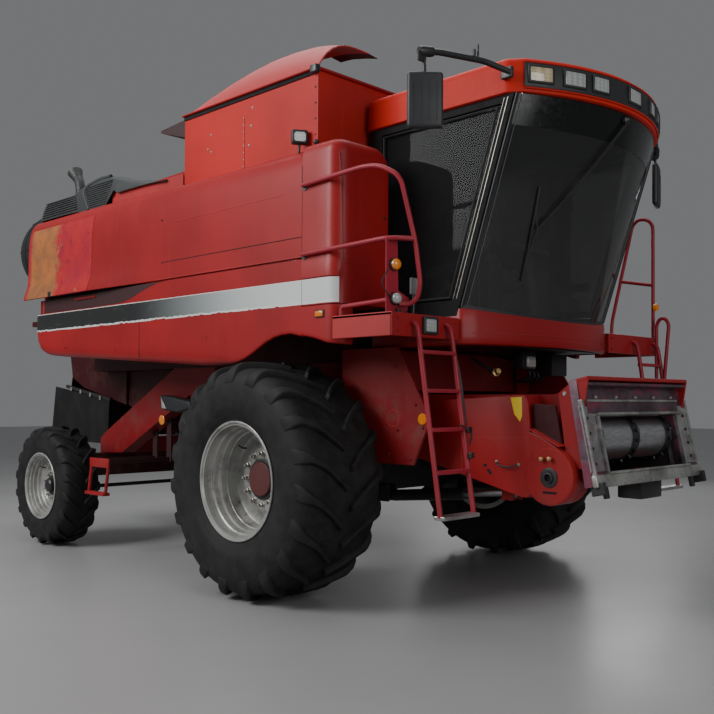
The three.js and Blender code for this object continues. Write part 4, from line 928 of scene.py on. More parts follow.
SKIRT = ((SEAM_Y, 1.905), (-0.343, 1.93), (-0.24, 1.926), (-0.15, 1.91), (-0.06, 1.88), (0.03, 1.838),
    (0.12, 1.795), (0.2, 1.764), (0.283, 1.745), (0.38, 1.735), (0.56, 1.731), (0.774, 1.732), (1.2, 1.757),
    (1.69, 1.786), (2.2, 1.816), (2.7, 1.845), (3.159, 1.872), (3.4, 1.89), (3.52, 1.908), (3.6, 1.938),
    (3.65, 1.985), (SHIELD_REAR, 2.06),)
TOE = ((-0.726, 1.853), (-0.66, 1.872), (-0.58, 1.893), (SEAM_Y - 0.001, 1.912),)
CURL = ((0.0, 0.058), (0.01, 0.034), (0.028, 0.016), (0.055, 0.005), (0.095, 0.0008), (0.14, 0.0))


def shield_height(low, top, j, curl):
    """Height and lean inwards of the skirt's rows, which curl in at the bottom."""
    if j < len(CURL):
        rise, lean = CURL[j]
        return low + rise * curl, lean * curl
    share = (j - len(CURL) + 1) / 3
    return low + 0.14 * curl + (top - low - 0.14 * curl) * share, 0.0


def shields():
    rows = len(CURL) + 1

    def place(i, j):
        y, low = SKIRT[i]
        curl = 0.22 + 0.78 * ease(0.2, 0.75, y)
        z, lean = shield_height(low, 2.3, min(j, rows), curl)
        if j > rows:
            z = (2.306, 2.318, 2.38, SHIELD_TOP)[j - rows - 1]
            lean = 0.034 * ease(1.75, 2.5, y) * (0, 1, 1, 1)[j - rows - 1]
        x = FACE_X - lean
        if y > 3.6:
            x -= 0.1 * (y - 3.6)
        return at(-x, y, z)

    main = skin("main", len(SKIRT) - 1, rows + 4, place, 0.012, (-1, 0, 0))
    bend = [(FACE_X, y) for _, y in ((0, -0.466), (0, -0.58), (0, -0.66), (0, -0.725))]
    bend += arc((FACE_X - CORNER_R, CORNER_Y + CORNER_R), CORNER_R, 0, -90, 6)[1:]
    bend.append((FACE_X - CORNER_R - 0.03, CORNER_Y))

    def toe_place(i, j):
        x, y = bend[i]
        low = between(TOE, y) [0] if y > TOE[0][0] else 1.853 - (TOE[0][0] - y) * 0.1
        z, lean = shield_height(low, 2.116, j, 0.22)
        inward = Vector((1, 0)) if i < 4 else Vector((FACE_X - CORNER_R - x, CORNER_Y + CORNER_R - y)).normalized()
        if i < 4:
            return at(-(x - lean), y, z)
        return at(-(x + inward.x * lean), y + inward.y * lean, z)

    toe = skin("toe", len(bend) - 1, rows + 1, toe_place, 0.012, (-1, -0.5, 0))
    shield = joined([main, toe], "side_shield_right_skin")
    put(shield, RED, "side_shield_right")
    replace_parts(shield, "side_shield_right")
    both_sides(shield, "side_shield_right")
    # The band, and the seam between the skirt's two lengths.
    stations = [SEAM_Y, 0.2, 0.9, 1.692, 1.7, 2.3, 2.9, 3.4, 3.6, SHIELD_REAR - 0.004]

    def band_place(i, j):
        y = stations[i]
        x = FACE_X + 0.0012 - (0.1 * (y - 3.6) if y > 3.6 else 0)
        return at(-x, y, STRIPE[0] + (STRIPE[1] - STRIPE[0]) * j / 2)

    both_sides(put(skin("side_band_right", len(stations) - 1, 2, band_place, 0.0014, (-1, 0, 0)), STRIPED,
        "side_shield_right"))
    both_sides(put(strip("skirt_seam_right", [(-1.5502, 1.7, 1.8), (-1.5502, 1.7, 2.128)], 0.006, 0.0012, UPRIGHT),
        DARK_GAP_AND_SHADE, "side_shield_right"))
    spots = [at(-1.5502, y, z) for y, z in ((0.69, 1.95), (2.1, 1.9), (3.05, 1.95), (3.55, 2.1))]
    both_sides(studs("skirt_screws_right", spots, (-1, 0, 0), DARK_GAP_AND_SHADE, SCREW, 1.0, 10, body="side_shield_right"))
    # A maroon sheet that paints the shade in the recess under the upper panel's lip, and the little lamp plate in
    # it.
    leans = [(y, 0.034 * ease(1.75, 2.5, y)) for y, _ in SKIRT]

    def recess(i, j):
        y = 1.3 + (3.66 - 1.3) * i / 20
        low = 2.452 - 0.132 * ease(1.3, 2.1, y)
        return at(-(FACE_X - between(leans, y)[0] + 0.0018 - max(0, 0.1 * (y - 3.6))), y,
            low + (2.451 - low) * j / 2)

    # Folded flange on the body behind the shields' top edge; its rear length is painted shade maroon.
    for name, start, end, look in (("fore", SEAM_Y, 1.69, RED), ("aft", 1.69, 3.58, SHADE_MAROON)):
        flange = skin(f"shield_flange_{name}_right", 16, 2, lambda i, j: at(-(FACE_X - 0.0165 - between(leans,
            start + (end - start) * i / 16)[0]), start + (end - start) * i / 16, 2.43 + 0.025 * j), 0.0, (-1, 0, 0))
        worked(flange, "SOLIDIFY", thickness=0.002, offset=-1)
        both_sides(put(flange, look))

    both_sides(put(skin("recess_back_right", 20, 2, recess, 0.001, (-1, 0, 0)), SHADE_MAROON, "side_shield_right"))
    both_sides(put(crate("recess_plate_right", (-1.53, 2.52, 2.405), (-1.518, 2.92, 2.428), 0.003, 1), RED_LOW,
        "side_shield_right"))


def corner(side, way, top):
    """The rounded corner post in front of the panels, with its round top and its band."""
    r = CORNER_R
    plan = [(FACE_X, -0.47, 1, 0), (FACE_X, -0.6, 1, 0)]
    for x, y in arc((FACE_X - r, CORNER_Y + r), r, 0, -90, 9):
        plan.append((x, y, (x - FACE_X + r) / r, (y - CORNER_Y - r) / r))
    plan += [(x, CORNER_Y, 0, -1) for x in (1.4, 1.3, 1.2, 1.14, 1.1)]
    for x, y in arc((1.065, CORNER_Y + 0.015), 0.015, -90, -180, 3):
        plan.append((x, y, (x - 1.065) / 0.015, (y - CORNER_Y - 0.015) / 0.015))
    plan.append((1.05, -0.5, -1, 0))
    rise = top - 2.122
    rows = [(0, 0), (0.186, 0), (0.192, -0.01), (0.26, -0.01), (0.3, -0.004), (0.34, 0)]
    if rise < 0.5:
        rows = [(0, 0), (0.186, 0), (0.192, -0.008)]
        rows += [(rise - d, inset) for d, inset in ((0.03, -0.008), (0.01, 0.0), (0.0, 0.03), (0.0, 0.12))]
    else:
        crown = ((0.1, 0.0), (0.07, 0.003), (0.045, 0.01), (0.025, 0.022), (0.01, 0.04), (0.002, 0.062),
            (0.0, 0.09), (0.0, 0.16))
        rows += [(rise * k / 4, 0) for k in (2, 3)]
        rows += [(rise - d, inset) for d, inset in crown]

    def place(i, j):
        x, y, nx, ny = plan[i]
        z, inset = rows[j]
        drop = 0.0
        if top > 3 and x < 1.16:
            drop = 0.11 - sqrt(max(0, 0.11 ** 2 - (min(1.16 - x, 0.11)) ** 2))
            drop *= ease(rise - 0.5, rise - 0.1, z)
        step = inset if x > 1.505 or inset > 0 else 0
        return at(way * (x - nx * step), y - ny * step, 2.122 + z - drop)

    post = skin(f"corner_{side}_skin", len(plan) - 1, len(rows) - 1, place, 0.01, (way, -1, 0), 50)
    put(post, RED)
    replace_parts(post, f"corner_panel_{side}")
    # The band runs round the corner and ends on the flat front.
    ends = [p for p in plan if p[0] >= 1.505]

    def band_place(i, j):
        x, y, nx, ny = ends[i]
        return at(way * (x + nx * 0.0012), y + ny * 0.0012, STRIPE[0] + (STRIPE[1] - STRIPE[0]) * j / 2)

    put(skin(f"corner_band_{side}", len(ends) - 1, 2, band_place, 0.0014, (way, -1, 0)), STRIPED)


def corner_lines():
    """Seams of the right corner post's round door, and the side marker lamp on the toe."""

    def upright(name, degrees, wide, high):
        chain = []
        for z, more in ((2.42, 8), (2.75, 5), (3.05, 1), (3.17, -3)):
            a = radians(degrees + more)
            off = CORNER_R + 0.0006
            chain.append(at(-FACE_X + CORNER_R - off * cos(a), CORNER_Y + CORNER_R - off * sin(a), z))
        a = radians(degrees + 4)
        return strip(name, chain, wide, high, ((sin(a), -cos(a), 0), (-cos(a), -sin(a), 0)))

    # The two pale lines beside the door's seam are painted highlights on its edges; the dark one is the seam
    # itself.
    put(joined([upright("a", 50, 0.005, 0.003), upright("b", 62, 0.004, 0.003)], "post_seam_highlights"), RED_LIT)
    put(upright("post_seam_dark", 56, 0.003, 0.0022), RED_SHADED)
    # A pale line round the post's foot, a painted highlight on its seam.
    around = [(-FACE_X, -0.475), (-FACE_X, -0.7)]
    around += [(-a, b) for a, b in arc((FACE_X - CORNER_R, CORNER_Y + CORNER_R), CORNER_R + 0.0008, 0, -90, 8)]
    ring = skin("post_foot_seam_highlight", len(around) - 1, 1, lambda i, j: at(*around[i], 2.405 + 0.005 * j), 0.0,
        (-1, -1, 0))
    worked(ring, "SOLIDIFY", thickness=0.003, offset=1)
    put(ring, RED_LIT)
    both_sides(put(rounded(box("corner_seam_right", (-1.5485, SEAM_Y - 0.006, 2.12),
        (-1.535, SEAM_Y + 0.006, 3.12)), 0.001, 1), DARK_GAP_AND_SHADE))
    both_sides(put(smooth(crate("marker_lamp_right", (-1.5665, -0.7, 2.035), (-1.5505, -0.625, 2.075), 0.006, 3)),
        AMBER, "side_shield_right"))
    both_sides(put(crate("marker_foot_right", (-1.556, -0.71, 2.028), (-1.5502, -0.615, 2.082), 0.002, 1), BLACK,
        "side_shield_right"))
    put(crate("post_catch", (-1.405, CORNER_Y - 0.006, 3.04), (-1.393, CORNER_Y - 0.0002, 3.052), 0.002, 1), BLACK)
    studs("post_bolts", [(-1.1, CORNER_Y, 2.76)], (0, -1, 0), BLACK, BOLT, 1.3)


upper_panel()
shields()
corner("right", RIGHT, 3.271)
corner("left", LEFT, 2.399)
corner_lines()


# ---- grain tank ----
TANK_X = -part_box("grain_tank")[0].x
TANK_FRONT, TANK_REAR = -0.46, 1.25


def tank_trim():
    """Folded edges, seams and fasteners on the tank's walls."""
    x = -TANK_X
    wall = [at(x, TANK_FRONT + 0.001, 3.845), at(x, TANK_REAR, 3.845)]
    put(rounded(box("tank_rim_right", wall[0] + by(-0.03, -0.012, 0.01), wall[1] + by(0.012, 0.01, 0.024)), 0.006,
        2), RED)
    put(rounded(box("tank_rim_shadow", wall[0] + by(-0.01, 0, -0.02), wall[1] + by(0.002, 0, 0.009)), 0.002, 1),
        DARK_GAP_AND_SHADE)
    put(rounded(box("tank_rim_front", (-1.4, TANK_FRONT - 0.024, 3.846), (1.1, TANK_FRONT + 0.004, 3.868)), 0.006,
        2), RED)
    put(smooth(crate("tank_rim_clip", (x - 0.042, TANK_FRONT - 0.02, 3.824), (x + 0.004, TANK_FRONT + 0.05, 3.884),
        0.008, 3)), BLACK)
    # A beaded seam in the paler red of a painted highlight, with rivets near the middle, the edge bolts and
    # scattered pairs.
    put(rounded(strip("tank_bead", [(x, 0.42, 3.22), (x, 0.42, 3.68)], 0.016, 0.004, UPRIGHT), 0.0015, 1), RED_LIT)
    studs("tank_rivets", [(x - 0.004, 0.42, 3.24 + 0.055 * k) for k in range(9)], (-1, 0, 0), ZINC, RIVET, 0.9, 10)
    pairs = ((0.31, 3.74), (0.33, 3.6), (0.86, 3.63), (0.905, 3.52), (0.86, 3.49), (0.35, 3.45))
    studs("tank_wall_bolts", [(x, y, z) for y, z in pairs], (-1, 0, 0), ZINC, BOLT, 1.1)
    edge = [at(x, TANK_FRONT + 0.028, 3.27 + 0.115 * k) for k in range(6)]
    studs("tank_edge_bolts", edge, (-1, 0, 0), BLACK, BOLT, 0.9)
    # A paler strip down the front edge, a painted highlight.
    put(strip("tank_edge_highlight", [(x, TANK_FRONT + 0.004, 3.24), (x, TANK_FRONT + 0.004, 3.84)], 0.006, 0.0008,
        UPRIGHT), RED_LIT)
    # Maroon sheets painting the shade on the rear flap's flank and underside.
    flank = outlined("flank", [(-1.3605, y, z) for y, z in ((1.252, 3.692), (1.69, 3.821), (1.69, 3.839),
        (1.252, 3.864))], (-0.001, 0, 0))
    under = outlined("under", [(x, y, z) for x, y, z in ((-1.36, 1.252, 3.69), (1.06, 1.252, 3.69),
        (1.06, 1.69, 3.819), (-1.36, 1.69, 3.819))], (0, 0, -0.001))
    put(joined([flank, under], "tank_flap_shade"), SHADE_MAROON)


LID_EDGE = ((1.398, 3.873), (1.38, 3.915), (1.35, 3.965), (1.31, 4.015), (1.262, 4.06), (1.205, 4.096),
    (1.15, 4.118), (1.09, 4.13), (1.03, 4.134), (0.96, 4.134), (0.893, 4.132))
LID_RISE = ((-0.46, 0.92), (-0.34, 1.05), (-0.17, 1.19), (0.05, 1.26), (0.3, 1.27), (0.55, 1.19), (0.8, 1.02),
    (1.0, 0.82), (1.12, 0.62), (1.2, 0.42), (1.25, 0.22))


def tank_lids():
    """Two covers arched along their outer edges, higher at the front than behind."""

    def place(i, j):
        y = -0.459 + 1.708 * i / 20
        x, z = LID_EDGE[j]
        rise = between(LID_RISE, y)[0]
        return at(-x, y, 3.873 + (z - 3.873) * rise)

    lid = skin("tank_lid_right_skin", 20, len(LID_EDGE) - 1, place, 0.005, (-0.5, 0, 1), 60)
    hem = []
    for y, rise in ((-0.455, 0.925), (1.245, 0.23)):
        chain = [at(-x, y, 3.869 + (z - 3.873) * rise) for x, z in LID_EDGE]
        hem.append(rod("hem", chain, 0.006, 2))
    put(lid, LID_PAINT, "tank_lid_right")
    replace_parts(lid, "tank_lid_right")
    hem = put(joined(hem, "tank_lid_right_hem"), LID_PAINT, "tank_lid_right")

    # A strip along the cover's inner edge in the dark shade red, painting the shade under the lid's edge.
    def flap_place(i, j):
        y = -0.452 + 0.07 * i
        return at(-0.896 + 0.11 * j, y, 3.874 + 0.259 * between(LID_RISE, y)[0] - 0.012 * j)

    flap = skin("tank_lid_right_flap", 6, 1, flap_place, 0.004, (0, 0, 1))
    put(flap, RED_SHADED, "tank_lid_right")
    # The left cover's hinge line stands further in, beside the auger's elbow.
    for piece, node in ((lid, "tank_lid_right"), (hem, None), (flap, None)):
        other = both_sides(piece, node) if node else both_sides(piece)
        other.data.transform(shift(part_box("tank_lid_left")[1].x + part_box("tank_lid_right")[0].x, 0, 0))


def tank_lamp():
    """The work lamp on its bracket at the panel's front, and the ball knob beside it."""
    low, high = at(-1.52, -0.36, 3.315), at(-1.4, -0.295, 3.42)
    lamp = lamp_case("tank_lamp", low, high, 0.016, 0.01, 0.012)
    aim = turn(-34, "Z", (low + high) / 2)
    lamp.data.transform(aim)
    put(smooth(lamp), MOULDED)
    glass = crate("tank_lamp_lens", low + by(0.016, 0.004, 0.016), high - by(0.016, 0.05, 0.016), 0.003)
    glass.data.transform(aim)
    put(glass, CLEAR)
    put(rod("tank_lamp_stand", [(-1.46, -0.32, 3.25), (-1.46, -0.325, 3.32)], 0.01, 3), BLACK)
    put(smooth(drum("post_knob", (-1.45, -0.5, 3.285), (0, 0, 1), [(0, -0.03), (0.007, -0.03), (0.007, 0.0)]
        + arc((0, 0.018), 0.021, -60, 90, 8), 20)), BLACK)


LID_PAINT = weathered_red("lid_enamel_bleached", tone=(0.5, 0.066, 0.066), dull=0.9, dirt=0.1, gloss=0.0, shine=0.2)
tank_trim()
tank_lids()
tank_lamp()


# ---- cab ----
CAB_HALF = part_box("cab_window_right")[1].x * -1 + 0.028
SILL, HEAD = 2.1, 3.48
CAB_FRONT, CAB_REAR = -1.395, -0.52
GLASS_LOW, GLASS_TOP = 2.105, 3.475


def lean(z):
    """How far forward the windshield's corners stand at a height."""
    return CAB_FRONT - 0.465 * (z - SILL) / (HEAD - SILL)


def glass_point(u, v, off=0.0):
    """A place on the windshield's outer face, with u from -1 at the right to 1 at the left."""
    bow = 1 - u * u
    base = GLASS_LOW - 0.054 * bow
    z = base + (GLASS_TOP - base) * v
    return at(u * (CAB_HALF - 0.004), lean(z) - 0.0086 - (0.23 + 0.07 * v) * bow - off, z)


def windshield():
    glass = skin("windshield_glass", 40, 16, lambda i, j: glass_point(i / 20 - 1, j / 16), 0.007, (0, -1, 0))
    put(glass, GLASS)
    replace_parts(glass, "windshield")
    put(skin("windshield_visor_band", 40, 3, lambda i, j: glass_point(i / 20 - 1, 0.86 + 0.14 * j / 3, 0.0012),
        0.001, (0, -1, 0)), VISOR)
    # Rubber seals along the foot and both sides, and a fine bright line beside each.
    chain = [glass_point(k / 12 - 1, 0, 0.001) for k in range(25)]
    put(strip("seal_foot", chain, 0.03, 0.007, ((0, 0, 1), (0, -1, 0))), MOULDED)
    for side, way in SIDES:
        edge = [glass_point(way * 0.985, k / 12, 0.0) for k in range(13)]
        put(strip(f"seal_{side}", edge, 0.034, 0.008, FRONTAL), MOULDED)
        line = [glass_point(way * 0.955, k / 12, 0.002) for k in range(13)]
        put(strip(f"seal_line_{side}", line, 0.005, 0.003, FRONTAL), BRIGHT)


def side_windows():
    """Rubber round the side glass, thin bright lines on the pillars, the door's seal and handle, and the rear
    window with its seal.
    """
    x = -CAB_HALF - 0.0012
    ring = [at(x, -0.67, 2.17), at(x, lean(2.17) + 0.105, 2.17), at(x, lean(3.41) + 0.105, 3.41),
        at(x, -0.67, 3.41), at(x, -0.67, 2.17)]
    put(rod("window_seal_right", ring, 0.009, 2), MOULDED)
    post = [at(x, lean(2.16) + 0.04, 2.16), at(x, lean(3.46) + 0.04, 3.46)]
    put(strip("pillar_line_right", post, 0.004, 0.002, UPRIGHT), ZINC)
    fine = [p + by(0, 0.03, 0) for p in post]
    put(strip("pillar_line_right_fine", fine, 0.002, 0.002, UPRIGHT), ZINC)
    door = -x
    inner = [at(door - 0.001, -0.985, 2.215), at(door - 0.001, lean(2.215) + 0.14, 2.215),
        at(door - 0.001, lean(3.365) + 0.14, 3.365), at(door - 0.001, -0.985, 3.365),
        at(door - 0.001, -0.985, 2.215)]
    put(rod("door_seal", inner, 0.008, 2), MOULDED, "cab_door")
    put(rod("door_handle", [(door + 0.0, -1.1, 2.42), (door + 0.045, -1.1, 2.42), (door + 0.045, -1.24, 2.42),
        (door + 0.0, -1.24, 2.42)], 0.01, 3, 0.015), MOULDED, "cab_door")
    put(crate("door_handle_plate", (door - 0.004, -1.28, 2.385), (door + 0.006, -1.06, 2.455), 0.004), MOULDED,
        "cab_door")
    back = [at(-0.7, CAB_REAR + 0.001, 2.5), at(0.7, CAB_REAR + 0.001, 2.5), at(0.7, CAB_REAR + 0.001, 3.35),
        at(-0.7, CAB_REAR + 0.001, 3.35), at(-0.7, CAB_REAR + 0.001, 2.5)]
    put(rod("rear_window_seal", back, 0.01, 2), MOULDED)
    put(skin("rear_window", 8, 6, lambda i, j: at(-0.7 + 0.175 * i, CAB_REAR - 0.02, 2.5 + 0.1417 * j), 0.005,
        (0, 1, 0)), GLASS)


def ring_plan(half, rear, front, bow, corner, steps=20):
    """Plan of the cab from the middle of its back, round its right side and bowed front, and back again."""
    right = [(0, rear), (-half * 0.5, rear), (-half + 0.03, rear), (-half, rear - 0.03), (-half, rear - 0.4)]
    right += [(-half, front + corner + 0.25), (-half, front + corner)]
    turned_corner = arc((-half + corner, front + corner), corner, 180, 235, 5)[1:]
    right += turned_corner
    start = turned_corner[-1][0]
    for k in range(1, steps + 1):
        x = start * (1 - k / steps)
        right.append((x, front - bow * (1 - (x / half) ** 2)))
    left = [(-x, y) for x, y in reversed(right[:-1])]
    return right + left


def ring_skin(name, plan, rows, heart, thick, outward, heights=None):
    """A wall drawn up round a plan; each row has a height and a share of the way in to the heart."""

    def place(i, j):
        x, y = plan[i]
        z, inward = rows[j]
        if heights:
            z = heights(x, y, j, z)
        x, y = x + (heart[0] - x) * inward, y + (heart[1] - y) * inward
        return at(x, y, z)

    piece = skin(name, len(plan) - 1, len(rows) - 1, place, 0.0, outward, 50)
    face_out(piece)
    if thick:
        worked(piece, "SOLIDIFY", thickness=thick, offset=-1)
    return smooth(piece, 50)


def fascia():
    """The red wall under the windshield, round the front and sides."""
    plan = ring_plan(CAB_HALF - 0.0005, CAB_REAR, -1.432, 0.228, 0.045)

    def heights(x, y, j, z):
        if j < 4:
            return z
        bow = 1 - (x / CAB_HALF) ** 2 if y < -1.39 else 0
        top = 2.088 - 0.052 * max(0, bow) if y < -1.38 else 2.088
        return top + (0.0, 0.005, 0.005)[j - 4]

    rows = ((1.843, 0.05), (1.846, 0.012), (1.856, 0.002), (1.9, 0), (2.09, 0), (2.09, 0.004), (2.09, 0.03))
    wall = ring_skin("cab_fascia", plan, rows, (0, -1.05), 0.006, (0, -1, 0), heights)
    put(wall, RED)
    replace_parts(wall, "cab_base")
    # A pale line along the front's crease, a painted highlight.
    ledge = [at(x, y - 0.0035, 1.925) for x, y in plan if y < -1.44]
    put(strip("fascia_crease_highlight", ledge, 0.004, 0.0015, ((0, 0, 1), (0, -1, 0))), RED_LIT)
    put(crate("cab_floor", (-0.88, -1.42, 1.85), (0.88, -0.56, 1.888), 0.004, 1), BLACK)
    spots = [at(-CAB_HALF + 0.001, y, 1.955) for y in (-1.3, -0.7)]
    studs("fascia_bolts", spots, (-1, 0, 0), ZINC, BOLT, 1.2)


ROOF_BOTTOM, ROOF_TOP = 3.4815, 3.728


def roof():
    plan = ring_plan(0.957, -0.492, -1.868, 0.335, 0.075, 24)
    rows = ((3.5, 0.06), (ROOF_BOTTOM, 0.045), (ROOF_BOTTOM, 0.012), (3.486, 0.002), (3.496, 0.0), (3.52, 0.004),
        (3.672, 0.008), (3.7, 0.014), (3.716, 0.03), (3.725, 0.055), (ROOF_TOP, 0.1), (ROOF_TOP, 0.45),
        (ROOF_TOP - 0.001, 1.0))
    shell = ring_skin("cab_roof_shell", plan, rows, (0, -1.25), 0.0, (0, 0, 1))
    # The shell takes the bright roof red, painted sunlight.
    put(shell, RED_SUNLIT_ROOF)
    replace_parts(shell, "cab_roof")
    lining = ring_skin("cab_head_lining", ring_plan(0.9, -0.55, -1.8, 0.3, 0.07, 24),
        ((3.484, 0.0), (3.5, 0.02), (3.502, 1.0)), (0, -1.25), 0.0, (0, 0, -1))
    with editing(lining, first="SELECT"):
        bpy.ops.mesh.normals_make_consistent(inside=False)
    put(worked(lining, "SOLIDIFY", thickness=0.004), MOULDED)
    light_bar(plan)


LAMPS = ((-0.79, 0.082), (-0.562, 0.082), (-0.352, 0.07), (0.02, 0.082), (0.352, 0.07), (0.562, 0.082),
    (0.79, 0.082))


def light_bar(plan):
    """The black bar let into the roof's front, with its lamps."""
    front = [(x, y) for x, y in plan if y < -1.872]

    def wall(x, y, off):
        away = Vector((x, y + 1.25)).normalized() * off
        return x + away.x, y + away.y

    rows = ((3.516, -0.004), (3.519, 0.006), (3.528, 0.009), (3.6, 0.008), (3.668, 0.005), (3.677, 0.002),
        (3.68, -0.008))

    def place(i, j):
        z, off = rows[j]
        x, y = wall(*front[i], off)
        return at(x, y, z)

    put(skin("light_bar", len(front) - 1, len(rows) - 1, place, 0.006, (0, -1, 0), 40), MOULDED)
    # The bar's red edges take the bright roof red, painted sunlight.
    lines = []
    for z, off in ((3.684, 0.004), (3.51, 0.007)):
        lines.append(rod("edge", [at(*wall(x, y, off), z) for x, y in front], 0.006, 2))
    put(joined(lines, "light_bar_edges"), RED_SUNLIT_ROOF)
    for k, (x, half_w) in enumerate(LAMPS):
        y = -1.868 - 0.335 * (1 - (x / 0.957) ** 2)
        yaw = degrees(atan2(2 * 0.335 * x / 0.957 ** 2, 1))
        centre = at(x, y, 3.6)
        bezel = lamp_case(f"roof_lamp_bezel_{k}", centre + by(-half_w - 0.014, -0.022, -0.06),
            centre + by(half_w + 0.014, 0.02, 0.062), 0.01, 0.009, 0.008)
        aim = turn(yaw, "Z", centre)
        bezel.data.transform(aim)
        put(smooth(bezel), MOULDED)
        glass = crate(f"roof_lamp_{k}", centre + by(-half_w, -0.018, -0.048), centre + by(half_w, 0.0, 0.05), 0.007,
            3)
        glass.data.transform(aim)
        put(smooth(glass), WARM if k == 0 else CLEAR)


def mirrors():
    """Rounded heads on ball joints, on the arms of the frame."""
    for side, way in SIDES:
        if side == "right":
            ends, heights = ((1.524, -1.76), (1.678, -1.6)), (3.12, 3.47)
            arm = [(0.96, -1.865, 3.6), (1.16, -1.79, 3.64), (1.484, -1.7, 3.628), (1.585, -1.672, 3.612),
                (1.604, -1.676, 3.56), (1.606, -1.69, 3.3)]
        else:
            ends, heights = ((1.15, -1.74), (1.35, -1.66)), (3.09, 3.44)
            arm = [(0.96, -1.865, 3.6), (1.1, -1.8, 3.615), (1.24, -1.73, 3.6), (1.29, -1.7, 3.555),
                (1.262, -1.712, 3.48), (1.256, -1.718, 3.27)]
        (x0, y0), (x1, y1) = ends
        along = by(x1 - x0, y1 - y0, 0)
        out = by(along.y, -along.x, 0).normalized()
        centre = by((x0 + x1) / 2, (y0 + y1) / 2, sum(heights) / 2) + out * 0.025
        tall, wide = heights[1] - heights[0], along.length
        half = by(wide / 2, 0.026, tall / 2)
        head = crate(f"mirror_{side}_head", -half, half, 0.024, 4)
        with editing(head) as cage:
            cage.pick(facing((0, 1, 0), 0.98))
            bpy.ops.mesh.inset(thickness=0.012)
            pull((0, -0.006, 0))
        ribs = [(by(-0.075 + 0.05 * k, -0.029, -tall * 0.38), by(-0.069 + 0.05 * k, -0.02, tall * 0.3))
            for k in range(4)]
        head = joined([head, crates("ribs", ribs, 0.002)], f"mirror_{side}_head")
        glass = crate(f"mirror_{side}_glass", by(-wide / 2 + 0.018, 0.018, -tall / 2 + 0.018),
            by(wide / 2 - 0.018, 0.023, tall / 2 - 0.018), 0.002, 1)
        hung = Matrix.Translation(at(*centre)) @ Matrix.Rotation(atan2(along.y, along.x), 4, "Z")
        for piece, look in ((head, MOULDED), (glass, MIRROR_GLASS)):
            piece.data.transform(hung)
            if way < 0:
                flipped(piece)
            put(smooth(piece, 40), look)
        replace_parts(head, f"mirror_{side}")
        points = [at(way * x, y, z) for x, y, z in arm]
        bars = [rod("arm", points[:4], 0.02, 3, 0.03), rod("drop", points[3:], 0.011, 3, 0.03)]
        ball = drum("ball", points[-1], (way * out.x, out.y, 0), arc((0, 0.0), 0.03, -90, 90, 10), 20)
        clamp = drum("clamp", points[3], (points[3] - points[2]).normalized(),
            ((0.03, -0.05), (0.033, -0.03), (0.033, 0.03), (0.028, 0.05)), 20)
        tilt = crate("tab", points[3] + by(-0.075, -0.006, -0.075), points[3] + by(0.0, 0.006, -0.01), 0.005)
        foot = crate("foot", (way * 0.955, -1.88, 3.565), (way * 0.985, -1.79, 3.64), 0.008, 3)
        parts = bars + [smooth(ball), clamp, tilt, foot]
        if side == "right":
            parts.append(rod("antenna", [(-1.2, -1.775, 3.645), (-1.2, -1.775, 3.74)], 0.007, 3))
            parts.append(rod("antenna_b", [(-1.23, -1.768, 3.645), (-1.23, -1.768, 3.7)], 0.011, 3))
        put(smooth(joined(parts, f"mirror_{side}_arm"), 40), BLACK)


def wiper():
    """A long twin arm hung from the windshield's top, with its blade."""
    top = glass_point(-0.02, 0.965, 0.03)
    low = glass_point(-0.6, 0.4, 0.03)
    apart = by(0.03, 0, 0.012)
    arms = []
    for off in (by(0, 0, 0), apart):
        chain = [top + off, top.lerp(low, 0.5) + off + by(0, -0.03, 0), low + off * 0.6]
        arms.append(rod("arm", chain, 0.006, 2, 0.08))
    motor = drum("motor", glass_point(-0.02, 0.975, 0.0), (0, -1, 0), ((0.032, 0), (0.032, 0.02), (0.02, 0.032),
        (0.01, 0.04)), 20)
    blade_top, blade_low = glass_point(-0.66, 0.6, 0.012), glass_point(-0.585, 0.16, 0.012)
    blade = rod("blade", [blade_top, blade_top.lerp(blade_low, 0.5) + by(0, -0.005, 0), blade_low], 0.007, 2, 0.1)
    bow = rod("bow", [blade_top.lerp(blade_low, 0.2), low + by(0, -0.006, 0), blade_top.lerp(blade_low, 0.8)],
        0.005, 2)
    put(joined(arms + [motor, blade, bow], "wiper"), BLACK)


